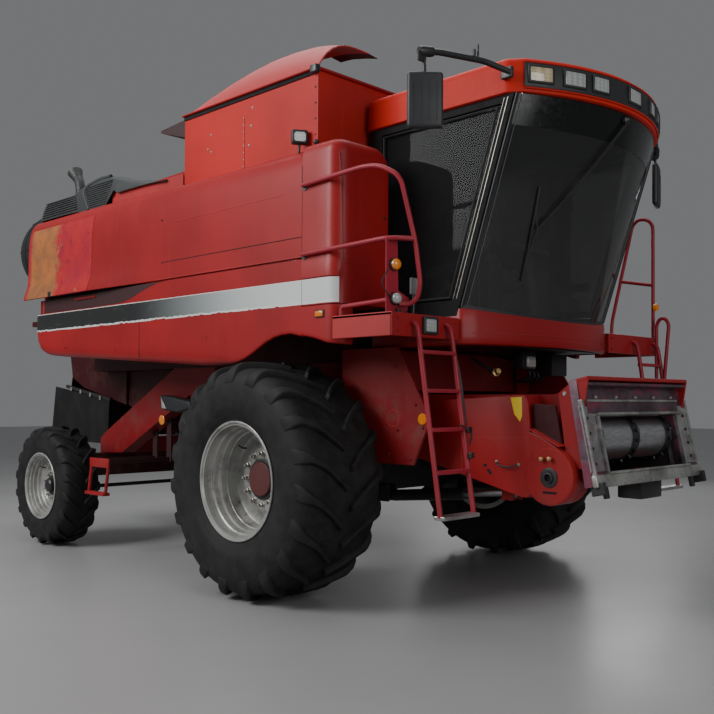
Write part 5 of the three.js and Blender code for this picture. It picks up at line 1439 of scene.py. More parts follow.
def cab_inside():
    """Steering wheel, controls, side console and headrest, seen faintly through the glass."""
    wheel = at(0, -1.275, 2.64)
    bpy.ops.object.select_all(action="DESELECT")
    bpy.ops.mesh.primitive_torus_add(major_radius=0.19, minor_radius=0.015, major_segments=48, minor_segments=12)
    ring = settle(named("steering_wheel_grip"))
    ring.data.transform(Matrix.Rotation(0.35, 4, "X"))
    ring.data.transform(Matrix.Translation(wheel))
    spokes = []
    for angle in (90, 210, 330):
        tip = Matrix.Rotation(0.35, 4, "X") @ by(0.185 * cos(radians(angle)), 0.185 * sin(radians(angle)), 0)
        spokes.append(rod("spoke", [wheel - by(0, 0, 0.03), wheel + tip], 0.01, 3))
    hub = drum("hub", wheel - by(0, 0, 0.045), Matrix.Rotation(0.35, 3, "X") @ by(0, 0, 1),
        ((0.045, 0), (0.05, 0.02), (0.042, 0.045), (0.02, 0.052), (0, 0.053)), 24)
    put(smooth(joined([ring] + spokes + [hub], "steering_wheel_grip"), 40), MOULDED)
    put(smooth(crate("side_console", (-0.46, -1.3, 2.12), (-0.29, -0.66, 2.5), 0.025, 3)), MOULDED)
    lever = rod("drive_lever", [(-0.37, -1.18, 2.49), (-0.37, -1.2, 2.62)], 0.009, 3)
    grip = crate("grip", (-0.395, -1.23, 2.61), (-0.345, -1.17, 2.7), 0.018, 3)
    put(smooth(joined([lever, grip], "drive_lever")), MOULDED)
    post = rod("monitor_post", [(-0.66, -1.36, 2.1), (-0.66, -1.34, 2.62)], 0.012, 3)
    screen = crate("monitor", (-0.76, -1.38, 2.56), (-0.58, -1.33, 2.74), 0.012, 3)
    put(smooth(joined([post, screen], "monitor")), MOULDED)
    put(crate("rear_shelf", (-0.86, -0.7, 2.05), (0.86, -0.575, 2.42), 0.03, 3), MOULDED)
    pedals = [(at(x, -1.46, 1.93), at(x + 0.07, -1.4, 2.02)) for x in (-0.22, 0.12, 0.24)]
    put(crates("pedals", pedals, 0.008), BLACK)
    put(smooth(crate("seat_headrest", (-0.13, -0.72, 3.01), (0.13, -0.62, 3.17), 0.035, 3)), CLOTH)
    stalks = [rod("stalk", [(x, -0.665, 2.98), (x, -0.665, 3.05)], 0.007, 3) for x in (-0.06, 0.06)]
    put(joined(stalks, "headrest_stalks"), ZINC)


# A bright red for the roof and its light bar's edges, painting the sunlight on them.
RED_SUNLIT_ROOF = weathered_red("red_enamel_roof", tone=(0.68, 0.034, 0.024), dull=0.15, dirt=0.08, gloss=0.0, shine=0.1)
VISOR = plain("visor_band", (0.006, 0.007, 0.007), 0.15)
windshield()
side_windows()
fascia()
roof()
mirrors()
wiper()
cab_inside()


# ---- decks, ladders and handrails ----
RAIL_R = 0.016


def ladder(name, way, x0, x1, top, foot, rungs):
    """A leaning ladder: rails hooked over the deck's edge, and flat rungs of which the lowest is worn bare."""
    (y0, z0), (y1, z1) = top, foot
    parts = []
    for x in (x0, x1):
        chain = [at(way * x, y0 + 0.02, z0 + 0.03), at(way * x, y0 - 0.03, z0 + 0.032),
            at(way * x, y0 - 0.052, z0 - 0.06), at(way * x, y1, z1)]
        parts.append(rod("rail", chain, 0.0175, 3, 0.045))
    for z in rungs[:-1]:
        y = y0 - 0.04 + (y1 - y0 + 0.04) * (z0 - z) / (z0 - z1)
        low = at(min(way * x0, way * x1), y - 0.026, z - 0.013)
        parts.append(crate("rung", low, low + by(x1 - x0, 0.052, 0.026), 0.006))
    put(smooth(joined(parts, name), 40), RED_RAIL)
    z = rungs[-1]
    put(crate(name + "_step", (min(way * x0, way * x1) - 0.012, y1 - 0.045, z - 0.016),
        (max(way * x0, way * x1) + 0.012, y1 + 0.045, z + 0.01), 0.005), WORN)


def deck(side, way, edge, front, low):
    """A deck: tread plate, and the folded plates along its side and front."""
    inner, rear, top = 0.9315, -0.845, 2.02
    put(crate(f"deck_{side}_plate", (way * inner, front, top - 0.018), (way * edge, rear, top), 0.003, 1), RED_LOW)
    studs(f"deck_{side}_tread", [(way * (inner + 0.05 + 0.07 * i), front + 0.05 + 0.065 * j, top)
        for i in range(int((edge - inner - 0.06) / 0.07)) for j in range(int((rear - front - 0.06) / 0.065))],
        (0, 0, 1), RED_LOW, ((0.012, -0.002), (0.01, 0.003), (0, 0.0035)), 1.0, 6)
    # The side plate is in the paler red, painting the light that falls on it.
    put(rounded(box(f"deck_{side}_flank", (way * (edge - 0.02), front + 0.002, low),
        (way * edge, rear, top + 0.004)), 0.005, 2), RED_LIT)
    put(rounded(box(f"deck_{side}_nose", (way * inner, front - 0.002, low),
        (way * edge, front + 0.016, top + 0.002)), 0.005, 2), RED)
    put(crate(f"deck_{side}_inner", (way * inner, front, low + 0.004), (way * (inner + 0.018), rear, top - 0.02),
        0.004, 1), RED_LOW)
    spots = [at(way * x, front - 0.002, z) for x in (inner + 0.05, edge - 0.06) for z in (low + 0.035, top - 0.035)]
    studs(f"deck_{side}_bolts", spots, (0, -1, 0), RED, BOLT, 1.3)


def rails(name, way, chains, radius=RAIL_R):
    parts = []
    for chain, bend in chains:
        parts.append(rod("rail", [(way * x, y, z) for x, y, z in chain], radius, 4, bend, 5))
    return put(smooth(joined(parts, name), 40), RED_RAIL)


def right_access():
    deck("right", RIGHT, 1.6, -1.4, 1.87)
    ladder("ladder_right", RIGHT, 1.08, 1.41, (-1.41, 1.935), (-1.65, 0.722), (1.77, 1.52, 1.27, 1.0, 0.722))
    top = [(1.576, -0.5, 2.97), (1.576, -1.11, 2.997), (1.558, -1.25, 2.985), (1.518, -1.395, 2.9),
        (1.42, -1.44, 2.48), (1.392, -1.462, 2.19), (1.392, -1.41, 2.08), (1.47, -1.345, 2.08)]
    middle_rail = [(1.576, -0.5, 2.48), (1.576, -1.29, 2.5), (1.54, -1.37, 2.5), (1.424, -1.44, 2.5)]
    low = [(1.55, -0.88, 2.015), (1.55, -0.88, 2.087), (1.55, -1.325, 2.105)]
    stand_offs = [([(1.576, -0.5, z), (1.5503, -0.5, z)], 0) for z in (2.97, 2.48)]
    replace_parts(rails("handrail_right", RIGHT, [(top, 0.07), (middle_rail, 0.04), (low, 0.03)] + stand_offs),
        "platform_right")
    feet = [drum("foot", (-1.5515, -0.5, z - 0.004), (-1, 0, 0), ((0.032, 0), (0.03, 0.006)), 16)
        for z in (2.97, 2.48)]
    put(joined(feet, "handrail_right_feet"), BLACK)
    put(outlined("lamp_bracket", [(-1.578, -1.33, 2.016), (-1.38, -1.33, 2.016), (-1.36, -1.33, 2.13),
        (-1.462, -1.33, 2.17), (-1.47, -1.33, 2.492), (-1.578, -1.33, 2.492)], (0, 0.008, 0), 0.003), RED_RAIL)
    for name, spot, radius, look in (("rail_lamp_amber", (-1.512, 2.335), 0.036, AMBER),
            ("rail_lamp_white", (-1.505, 2.115), 0.036, CLEAR)):
        base = at(spot[0], -1.331, spot[1])
        put(smooth(drum(name + "_seat", base, (0, -1, 0), ((radius + 0.006, 0), (radius + 0.006, 0.014),
            (radius, 0.02)), 32)), MOULDED)
        dome = [(r, 0.018 + h) for r, h in ((radius, -0.001), (radius, 0.01), (radius * 0.93, 0.02),
            (radius * 0.7, 0.029), (radius * 0.35, 0.034), (0, 0.035))]
        put(smooth(drum(name, base, (0, -1, 0), dome, 32)), look)
    put(smooth(crate("rail_reflector", (-1.385, -1.372, 2.15), (-1.29, -1.352, 2.262), 0.01, 3)), REFLECTOR)
    put(rod("rail_reflector_stem", [(-1.34, -1.345, 2.03), (-1.34, -1.355, 2.16)], 0.012, 3), BLACK)
    wires = [rod("wire", [(-1.57, -1.345, 2.3), (-1.612, -1.35, 2.255), (-1.64, -1.352, 2.215),
        (-1.628, -1.352, 2.175), (-1.575, -1.35, 2.13), (-1.53, -1.345, 2.12)], 0.004, 2, 0.03),
        rod("wire", [(-1.5, -1.345, 2.06), (-1.49, -1.36, 2.02), (-1.45, -1.37, 2.012), (-1.42, -1.36, 2.04)],
        0.005, 2, 0.02)]
    plugs = [crate("plug", (-1.505, -1.372, 1.995), (-1.475, -1.348, 2.045), 0.006),
        crate("plug", (-1.455, -1.38, 2.0), (-1.415, -1.35, 2.03), 0.006)]
    put(joined(wires + plugs, "rail_lamp_wires"), HOSE)
    # Work lamp let into the deck's nose between the rail tops.
    low_corner, high_corner = at(-1.315, -1.428, 1.893), at(-1.17, -1.398, 2.012)
    put(smooth(lamp_case("deck_lamp_bezel", low_corner, high_corner, 0.012, 0.01, 0.01)), MOULDED)
    put(smooth(crate("deck_lamp", low_corner + by(0.018, 0.004, 0.016), high_corner - by(0.018, 0, 0.016), 0.006)),
        CLEAR)
    cable = [rod("cable", [(-1.045, -1.44, 1.84), (-1.02, -1.475, 1.66), (-1.03, -1.52, 1.46),
        (-1.058, -1.56, 1.3)], 0.01, 3, 0.12), rod("cable", [(-1.12, -1.57, 1.295), (-1.07, -1.585, 1.285),
        (-1.03, -1.6, 1.24), (-1.06, -1.6, 1.17)], 0.006, 2, 0.03)]
    ends = [crate("end", (-1.085, -1.605, 1.245), (-1.035, -1.565, 1.285), 0.008),
        crate("end", (-1.1, -1.65, 1.08), (-1.07, -1.62, 1.12), 0.006)]
    put(joined(cable + ends, "ladder_cable"), HOSE)


def left_access():
    deck("left", LEFT, 1.74, -1.46, 1.86)
    ladder("ladder_left", LEFT, 1.32, 1.68, (-1.47, 1.935), (-1.7, 0.722), (1.77, 1.52, 1.27, 1.0, 0.722))
    loop = [(1.75, -1.01, 1.96), (1.75, -1.01, 2.18), (1.75, -1.23, 3.085), (1.75, -1.33, 3.12),
        (1.75, -1.43, 3.06), (1.75, -1.43, 1.96)]
    cross = [(1.75, -1.105, 2.56), (1.75, -1.43, 2.5)]
    hoop = [(1.68, -1.5, 1.62), (1.68, -1.5, 2.15), (1.68, -1.56, 2.205), (1.68, -1.62, 2.15), (1.68, -1.56, 1.5)]
    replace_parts(rails("handrail_left", LEFT, [(loop, 0.06), (cross, 0), (hoop, 0.045)]), "platform_left")
    put(smooth(drum("rail_lamp_left", (1.75, -1.448, 2.3), (0, -1, 0), ((0.036, 0), (0.036, 0.012), (0.03, 0.026),
        (0.014, 0.033), (0, 0.034)), 32)), AMBER)


REFLECTOR = plain("grey_reflector", (0.2, 0.205, 0.205), 0.4)
right_access()
left_access()


# ---- feeder ----
PLATE_LEAN = atan2(0.15, 0.683)
PLATE_FRAME = Matrix.Translation(at(0, -2.33, 0.917)) @ Matrix.Rotation(-PLATE_LEAN, 4, "X")
SHIELD_X = -0.7505


def plate_crate(name, low, high, round_by=0.004, steps=2):
    """A cuboid on the leaning faceplate: across, behind its face, and up it."""
    piece = crate(name, Vector(low), Vector(high), round_by, steps)
    piece.data.transform(PLATE_FRAME)
    return piece


def flat(points, x):
    return [at(x, y, z) for y, z in points]


def feeder_side():
    """The chain drive's covers on the right side."""
    edge = [(-0.792, 1.05), (-0.835, 1.446), (-1.74, 1.4975), (-1.8, 1.496), (-1.826, 1.482), (-1.842, 1.45),
        (-1.884, 0.9), (-1.882, 0.862), (-1.866, 0.834), (-1.838, 0.815), (-1.8, 0.812)]
    put(smooth(outlined("drive_cover", flat(edge, -0.7355), (-0.015, 0, 0), 0.006, 3), 40), RED, "feeder")
    # Pale lines on the cover's creases, painted highlights.
    crease = [strip("a", flat(((-1.275, 1.465), (-1.275, 0.98)), SHIELD_X), 0.004, 0.0015, UPRIGHT),
        strip("b", flat(((-1.3, 1.2), (-1.83, 1.215)), SHIELD_X), 0.004, 0.0015, LEVEL)]
    put(joined(crease, "drive_cover_crease_highlights"), RED_LIT, "feeder")
    slots = [(at(SHIELD_X - 0.002, y - 0.014, z - 0.01), at(SHIELD_X + 0.001, y + 0.014, z + 0.01)) for y,
        z in ((-1.485, 1.013), (-1.516, 0.98), (-1.53, 0.962), (-1.339, 1.043))]
    put(crates("drive_cover_slots", slots, 0.004, 1), DARK_GAP_AND_SHADE, "feeder")
    put(rod("drive_cover_handle", flat(((-1.585, 1.04), (-1.585, 1.04)), SHIELD_X)[:1]
        + [at(SHIELD_X - 0.03, -1.6, 1.03), at(SHIELD_X - 0.032, -1.68, 1.01), at(SHIELD_X - 0.03, -1.755, 1.018),
        at(SHIELD_X, -1.77, 1.028)], 0.006, 3, 0.03), IRON, "feeder")
    studs("drive_cover_handle_bolts", flat(((-1.585, 1.042), (-1.77, 1.03)), SHIELD_X), (-1, 0, 0), ZINC, BOLT, 1.3,
        body="feeder")
    put(outlined("drive_cover_decal", flat(((-1.703, 1.48), (-1.795, 1.484), (-1.798, 1.356), (-1.782, 1.318),
        (-1.735, 1.368)), SHIELD_X - 0.0005), (-0.001, 0, 0)), YELLOW, "feeder")
    # Rounded case in front of it, with its hub, knobs and slot.
    hub_y, hub_z = -2.01, 0.964
    put(smooth(drum("drive_case", (-0.64, hub_y, hub_z), (-1, 0, 0), ((0.186, 0), (0.19, 0.006), (0.19, 0.098),
        (0.187, 0.108), (0.18, 0.1135)), 56)), RED, "feeder")
    put(outlined("drive_case_web", flat(((-1.845, 1.255), (-1.93, 1.225), (-2.06, 1.16), (-2.14, 1.1),
        (-2.01, 0.96), (-1.87, 0.83)), -0.7365), (-0.012, 0, 0), 0.004), RED, "feeder")
    put(smooth(drum("drive_hub", (-0.752, hub_y - 0.006, hub_z - 0.006), (-1, 0, 0),
        ((0.03, -0.004), (0.066, -0.004), (0.066, 0.006), (0.058, 0.01), (0.036, 0.008), (0.034, 0.022),
        (0.026, 0.024), (0.024, 0.0), (0.03, -0.004)), 40)), IRON, "feeder")
    put(drum("drive_bore", (-0.7535, hub_y - 0.006, hub_z - 0.006), (-1, 0, 0), ((0.025, 0), (0.025, 0.003)), 24),
        DARK_GAP_AND_SHADE, "feeder")
    knobs = []
    for y, z in ((-1.968, 1.078), (-2.03, 1.082)):
        knobs.append(smooth(drum("knob", (-0.752, y, z), (-1, 0, 0), ((0.008, 0), (0.008, 0.012), (0.015, 0.018),
            (0.017, 0.026), (0.013, 0.035), (0, 0.038)), 20)))
    put(joined(knobs, "drive_knobs"), BRASS, "feeder")
    put(crate("drive_slot", (-0.7555, -2.075, 0.852), (-0.7525, -1.965, 0.868), 0.004, 1), DARK_GAP_AND_SHADE, "feeder")
    # The recess between cover and arm, in the dark red of painted shade, and the slanting gusset below it.
    put(outlined("arm_recess", flat(((-1.85, 1.255), (-1.85, 1.44), (-2.03, 1.43), (-2.08, 1.18)), -0.705),
        (0.02, 0, 0), 0.003), RED_SHADED, "feeder")
    put(outlined("arm_gusset", [(-0.75, -1.855, 1.262), (-0.75, -2.085, 1.158), (-0.655, -2.105, 1.165),
        (-0.655, -1.87, 1.275)], (0, 0.004, 0.01), 0.002), RED, "feeder")
    studs("arm_bolts", [(-0.6905, -1.955, 1.4), (-0.6905, -2.0, 1.27), (-0.6905, -2.095, 1.505)], (-1, 0, 0), ZINC,
        BOLT, 1.7, body="feeder")
    for side, way in SIDES:
        put(drum(f"feeder_pivot_cap_{side}", (way * 0.716, -0.45, 1.3), (way, 0, 0), ((0.05, 0), (0.048, 0.006)),
            24), IRON, "feeder")
    seams = [strip("s", [(x, -1.86, 1.5008), (x, -0.6, 1.5008)], 0.03, 0.004, ((1, 0, 0), (0, 0, 1)))
        for x in (-0.45, 0.45)]
    put(joined(seams, "feeder_top_ribs"), RED_LOW, "feeder")


def faceplate():
    """Steel frame round the mouth, folded top lip, sill and hooks on the leaning plate."""
    steel = [plate_crate("s", (way * 0.645 - 0.085, -0.01, 0.09), (way * 0.645 + 0.085, 0.001, 0.52), 0.003)
        for way in (-1, 1)]
    for way in (-1, 1):
        steel.append(plate_crate("jamb", (way * 0.545 - 0.012, -0.03, 0.08), (way * 0.545 + 0.012, 0.1, 0.47),
            0.004))
        steel.append(plate_crate("edge", (way * 0.708 - 0.01, -0.032, 0.01), (way * 0.708 + 0.01, 0.002, 0.56),
            0.004))
    put(joined(steel, "faceplate_steel"), WORN, "feeder")
    sill = [plate_crate("sill", (-0.735, -0.038, -0.012), (0.735, 0.002, 0.072), 0.012, 3),
        plate_crate("lip", (-0.56, -0.052, 0.066), (0.56, 0.05, 0.084), 0.005, 2)]
    put(smooth(joined(sill, "faceplate_sill"), 40), BARE, "feeder")
    bright = [plate_crate("lip", (-0.575, -0.05, 0.452), (0.64, 0.004, 0.47), 0.005),
        plate_crate("bar", (-0.64, -0.022, 0.545), (0.6, 0.002, 0.562), 0.004)]
    put(joined(bright, "faceplate_lip_bars"), BARE, "feeder")
    put(plate_crate("faceplate_band", (-0.64, -0.014, 0.47), (0.6, 0.001, 0.548), 0.003), PURPLED, "feeder")
    put(plate_crate("faceplate_upper", (-0.672, -0.01, 0.562), (0.672, 0.001, 0.69), 0.003), PURPLED, "feeder")
    hood = plate_crate("faceplate_top_lip", (-0.69, -0.088, 0.676), (0.69, 0.06, 0.702), 0.006)
    ends = []
    for way in (-1, 1):
        end = plate_crate("end", (way * 0.682 - 0.007, -0.085, 0.5), (way * 0.682 + 0.007, 0.0, 0.68), 0.002, 1)
        with editing(end, "VERT") as cage:
            low_front = PLATE_FRAME @ by(0, -0.085, 0.5)
            cage.pick(lambda v: (v.co.yz - low_front.yz).length < 0.01)
            bpy.ops.transform.translate(value=PLATE_FRAME.to_3x3() @ by(0, 0.07, 0))
        ends.append(end)
    put(joined([hood] + ends, "faceplate_top_lip"), RED, "feeder")
    fold = plate_crate("faceplate_fold", (-0.674, -0.072, 0.64), (0.674, 0.0, 0.662), 0.004)
    with editing(fold, first="SELECT"):
        bpy.ops.transform.translate(value=(0, 0, 0.004))
    put(fold, PURPLED, "feeder")
    across = [PLATE_FRAME @ by(-0.52 + 0.26 * k, -0.014, 0.578) for k in range(5)]
    studs("faceplate_bolts", across, PLATE_FRAME.to_3x3() @ by(0, -1, 0), ZINC, BOLT, 1.5, body="feeder")
    flank = [PLATE_FRAME @ by(way * 0.665, -0.01, 0.14 + 0.1 * k) for way in (-1, 1) for k in range(4)]
    studs("faceplate_side_bolts", flank, PLATE_FRAME.to_3x3() @ by(0, -1, 0), IRON, BOLT, 1.4, body="feeder")
    hooks = []
    for way in (-1, 1):
        hooks.append(plate_crate("hook", (way * 0.7 - 0.016, -0.07, -0.06), (way * 0.7 + 0.016, 0.03, 0.02), 0.006))
        hooks.append(plate_crate("lug", (way * 0.6 - 0.02, -0.02, -0.085), (way * 0.6 + 0.02, 0.01, 0.0), 0.006))
    put(joined(hooks, "faceplate_hooks"), IRON, "feeder")
    put(smooth(crate("feeder_gear_case", (0.1, -2.215, 0.765), (0.4, -2.02, 0.9), 0.012, 2)), BLACK, "feeder")


def drums():
    """Bright sleeves, sprockets and bars of the front drum in the mouth."""
    centre = (-2.075, 1.205)
    halves = []
    for x0, x1 in ((-0.45, -0.03), (0.03, 0.45)):
        halves.append(drum("half", at(x0, *centre), (1, 0, 0), ((0.148, 0), (0.153, 0.004),
            (0.153, x1 - x0 - 0.004), (0.148, x1 - x0)), 64))
    put(smooth(joined(halves, "feeder_drum_sleeves")), BRIGHT, "feeder")
    model = crate("tooth", (-0.012, centre[0] - 0.01, centre[1] + 0.15),
        (0.012, centre[0] + 0.01, centre[1] + 0.182), 0.004, 1)
    moves = [shift(x, 0, 0) @ turn(k * 24, "X", at(0, *centre)) for x in (-0.475, 0.0, 0.475) for k in range(15)]
    put(copied(model, moves, "feeder_sprocket_teeth"), BLACK, "feeder")
    bands = [drum("band", at(x - 0.045, *centre), (1, 0, 0), ((0.14, 0), (0.16, 0.002), (0.162, 0.012),
        (0.156, 0.03), (0.156, 0.06), (0.162, 0.078), (0.16, 0.088), (0.14, 0.09), (0.14, 0)), 48)
        for x in (-0.475, 0.0, 0.475)]
    put(smooth(joined(bands, "feeder_chain_bands"), 30), BLACK, "feeder")
    # Dark sheets on the throat's walls and floor behind the mouth, painted shade.
    walls = [(at(way * 0.5415 - 0.001, -2.205, 0.96), at(way * 0.5415 + 0.001, -0.7, 1.46)) for way in (-1, 1)]
    put(crates("feeder_throat", walls, 0.0005, 1), THROAT, "feeder")
    put(skin("feeder_floor_wear", 6, 4, lambda i, j: at(-0.54 + 0.18 * i, -2.13 + 0.12 * j, 0.9525 + 0.002 * j),
        0.003), THROAT, "feeder")


THROAT = plain("throat_shadow", (0.018, 0.014, 0.015), 0.55)
BARE = worn_steel("bright_worn_steel", tint=(0.56, 0.57, 0.53), stain=(0.11, 0.1, 0.085), stained=0.35)
feeder_side()
faceplate()
drums()


# ---- frame and underbody ----
def underbody():
    """Reflectors, bolts, lamp, hoses and plates on the frame."""
    for side, way in SIDES:
        # The reflectors take the amber lens finish, whose faint glow is painted light on a part that is no lamp.
        put(smooth(drum(f"frame_reflector_{side}", (way * 1.0005, -1.128, 1.327), (way, 0, 0),
            ((0.04, 0), (0.04, 0.006), (0.036, 0.01), (0, 0.011)), 32)), AMBER)
        put(smooth(drum(f"rear_reflector_{side}", (way * 1.03, 2.157, 1.262), (way, 0, 0),
            ((0.046, 0), (0.046, 0.006), (0.04, 0.01), (0, 0.011)), 32)), AMBER)
        put(crate(f"rear_reflector_stay_{side}", (way * 0.88, 2.1, 1.235), (way * 1.031, 2.2, 1.243), 0.002, 1),
            BLACK)
        put(smooth(outlined(f"rear_work_lamp_{side}", [(way * 0.895, 2.215, 1.5), (way * 0.895, 2.175, 1.36),
            (way * 0.895, 1.93, 1.335), (way * 0.895, 1.7, 1.375), (way * 0.895, 1.72, 1.44),
            (way * 0.895, 2.02, 1.48)], (way * 0.13, 0, 0), 0.018, 3), 50), MOULDED)
        put(outlined(f"rear_work_lamp_lens_{side}", [(way * 1.0245, 2.19, 1.48), (way * 1.0245, 2.165, 1.375),
            (way * 1.0245, 2.095, 1.37)], (way * 0.004, 0, 0), 0.001), CLEAR)
        put(drum(f"brace_tag_{side}", (way * 0.8705, 2.64, 1.395), (way, 0, 0), ((0.02, 0), (0.019, 0.003)), 20),
            BRASS)
        bolts = [at(way * 0.8705, y, z) for y, z in ((3.19, 1.06), (3.245, 1.0), (3.16, 0.99))]
        studs(f"brace_bolts_{side}", bolts, (way, 0, 0), RED_LOW, BOLT, 2.4)
        plates = [at(way * 1.0005, y, z) for y, z in ((-0.76, 1.78), (-0.86, 1.7), (-1.06, 1.43), (-1.13, 1.27),
            (-0.8, 1.07), (-1.011, 1.046), (-0.885, 1.249))]
        studs(f"frame_plate_bolts_{side}", plates, (way, 0, 0), RED_LOW, BOLT, 1.6)
        # A pale ring and line on the frame plate's pressings, painted highlights.
        put(drum(f"frame_plate_ring_{side}", (way * 1.0003, -0.842, 1.329), (way, 0, 0),
            ((0.058, 0), (0.063, 0), (0.063, 0.0012), (0.058, 0.0012), (0.058, 0)), 40), RED_LIT)
        put(strip(f"frame_plate_line_{side}", [(way * 1.0005, -0.888, 1.835), (way * 1.0005, -1.177, 1.357)], 0.006,
            0.0015, ((0, 0.7, 0.7), (way, 0, 0))), RED_LIT)
    step_frames()
    hoses()


def step_frames():
    """Hung steps ahead of the rear wheels."""
    plate = crate("rear_step_right", (-1.475, 2.34, 0.82), (-1.455, 2.69, 0.905), 0.004)
    legs = []
    for y in (2.355, 2.665):
        legs.append(rod("leg", [(-1.465, y, 0.83), (-1.465, y + 0.05, 0.58)], 0.015, 3))
    foot = crate("foot", (-1.5, 2.385, 0.56), (-1.43, 2.735, 0.59), 0.005)
    arms = [crate("arm", (-1.46, y - 0.012, 0.855), (-0.79, y + 0.012, 0.895), 0.004) for y in (2.39, 2.64)]
    arms += [crate("hang", (-0.81, y - 0.04, 0.85), (-0.79, y + 0.04, top), 0.004) for y,
        top in ((2.39, 1.28), (2.64, 1.16))]
    both_sides(put(smooth(joined([plate, foot] + legs, "rear_step_right"), 40), RED))
    # The arms and hangers are in painted shade maroon, for the shadow under the body.
    both_sides(put(joined(arms, "rear_step_arms_right"), SHADE_MAROON))


def hoses():
    """Hydraulic hoses and dark boxes between cab and feeder, and along the axle."""
    bundle = []
    for k in range(4):
        x = 0.3 + 0.06 * k
        bundle.append(rod("hose", [(x, -0.8, 1.83), (x + 0.02, -1.02, 1.76 - 0.02 * k), (x + 0.05, -1.12, 1.66),
            (x + 0.02, -0.98, 1.61)], 0.013, 3, 0.1))
    put(joined(bundle, "feeder_hoses"), HOSE)
    boxes = (at(0.46, -1.22, 1.66), at(0.68, -1.02, 1.835)), (at(-0.05, -1.3, 1.7), at(0.12, -1.2, 1.835))
    put(smooth(crates("under_cab_boxes", boxes, 0.01)), BLACK)
    put(smooth(crate("under_cab_lamp", (-0.02, -1.325, 1.715), (0.09, -1.299, 1.8), 0.01, 3)), CLEAR)
    put(crate("under_cab_bulkhead", (-0.985, -0.62, 1.535), (0.985, -0.605, 1.835), 0.004, 1), RED_LOW)
    put(rod("axle_hose", [(-0.85, 0.2, 1.12), (-0.55, 0.3, 1.155), (0, 0.32, 1.165), (0.55, 0.3, 1.155),
        (0.85, 0.2, 1.12)], 0.014, 3, 0.15), HOSE)
    put(smooth(drum("coupling_brass", (-0.44, -1.335, 1.66), (-0.4, -1, 0.3),
        ((0.024, -0.05), (0.024, -0.02), (0.03, -0.018), (0.03, 0.015), (0.02, 0.02), (0.02, 0.05)), 16)), BRASS)
    put(rod("coupling_stay", [(-0.44, -1.3, 1.675), (-0.44, -1.12, 1.775)], 0.012, 3), BLACK)


underbody()


# ---- engine hood, exhaust, screen and rear ----
HOOD_LINE = ((1.5, 3.362, 3.385), (1.8, 3.37, 3.43), (2.1, 3.372, 3.48), (2.3, 3.37, 3.525), (2.366, 3.405, 3.545),
    (2.44, 3.345, 3.565), (2.515, 3.285, 3.582), (2.62, 3.28, 3.59), (2.74, 3.277, 3.594), (2.84, 3.275, 3.592),
    (2.96, 3.283, 3.582), (3.08, 3.296, 3.556), (3.18, 3.3, 3.525), (3.3, 3.302, 3.514), (3.5, 3.303, 3.513),
    (3.7, 3.303, 3.512), (3.775, 3.303, 3.505), (3.825, 3.303, 3.46), (3.852, 3.303, 3.39),)


def engine_hood():
    """The moulded black hood: a thin tail, a ribbed front part, a raised ridge and a ribbed rear part."""
    across = (0.0, 0.002, 0.01, 0.03, 0.065, 0.12, 0.3, 0.6, 0.88, 0.935, 0.94)

    def place(i, j):
        y, low, top = HOOD_LINE[i]
        if j <= 7:
            lean = 0.035 * (j / 7) ** 2
            return at(-1.44 + lean, y, low + (top - 0.035 - low) * j / 7)
        inward = across[min(j - 7, len(across) - 1)]
        drop = 0.035 * max(0, 1 - inward / 0.1) ** 2
        z = top - drop
        if j == 14:
            return at(-0.505, y, max(low, 3.21))
        return at(-1.405 + inward, y, z)

    hood = skin("engine_hood_shell", len(HOOD_LINE) - 1, 14, place, 0.008, (-0.5, 0, 1), 50)
    put(hood, GRILLE)
    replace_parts(hood, "engine_hood")
    caps = []
    for station in (0, len(HOOD_LINE) - 1):
        ring = [place(station, j) for j in range(15)]
        caps.append(outlined("cap", ring, (0, 0.006 if station == 0 else -0.006, 0)))
    put(joined(caps, "engine_hood_ends"), GRILLE)
    ribs = []
    for k in range(7):
        z = 3.325 + 0.024 * k
        x = -1.44 + 0.035 * ((z - 3.303) / 0.175) ** 2
        start = 3.06 + 0.012 * k
        ribs.append(crate("rib", (x - 0.012, start, z), (x + 0.004, 3.8 - 0.004 * k, z + 0.011), 0.004, 2))
    for k in range(11):
        z = 3.3 + 0.021 * k
        x = -1.44 + 0.035 * ((z - 3.28) / 0.28) ** 2
        front = 2.525 - 0.1 * min(1, (z - 3.285) / 0.12)
        rear = 2.8 + 0.135 * (z - 3.28) / 0.2
        ribs.append(crate("rib", (x - 0.008, max(front, 2.4), z), (x + 0.004, min(rear, 2.94), z + 0.009), 0.003,
            1))
    put(smooth(joined(ribs, "engine_hood_ribs"), 40), GRILLE)
    put(rod("engine_hood_ridge", [(-1.436, 2.835, 3.285), (-1.432, 2.905, 3.38), (-1.418, 2.985, 3.472),
        (-1.405, 2.93, 3.535), (-1.39, 2.7, 3.572), (-1.38, 2.52, 3.57)], 0.019, 4, 0.05), GRILLE)
    # The raised side panel behind the hood is in the paler red, painted light.
    put(skin("engine_side_panel", 10, 3, lambda i, j: at(-1.4065, 1.262 + 0.118 * i,
        3.195 + 0.062 * j + 0.012 * ease(4, 10, i) * j / 3), 0.008, (-1, 0, 0)), RED_LIT)


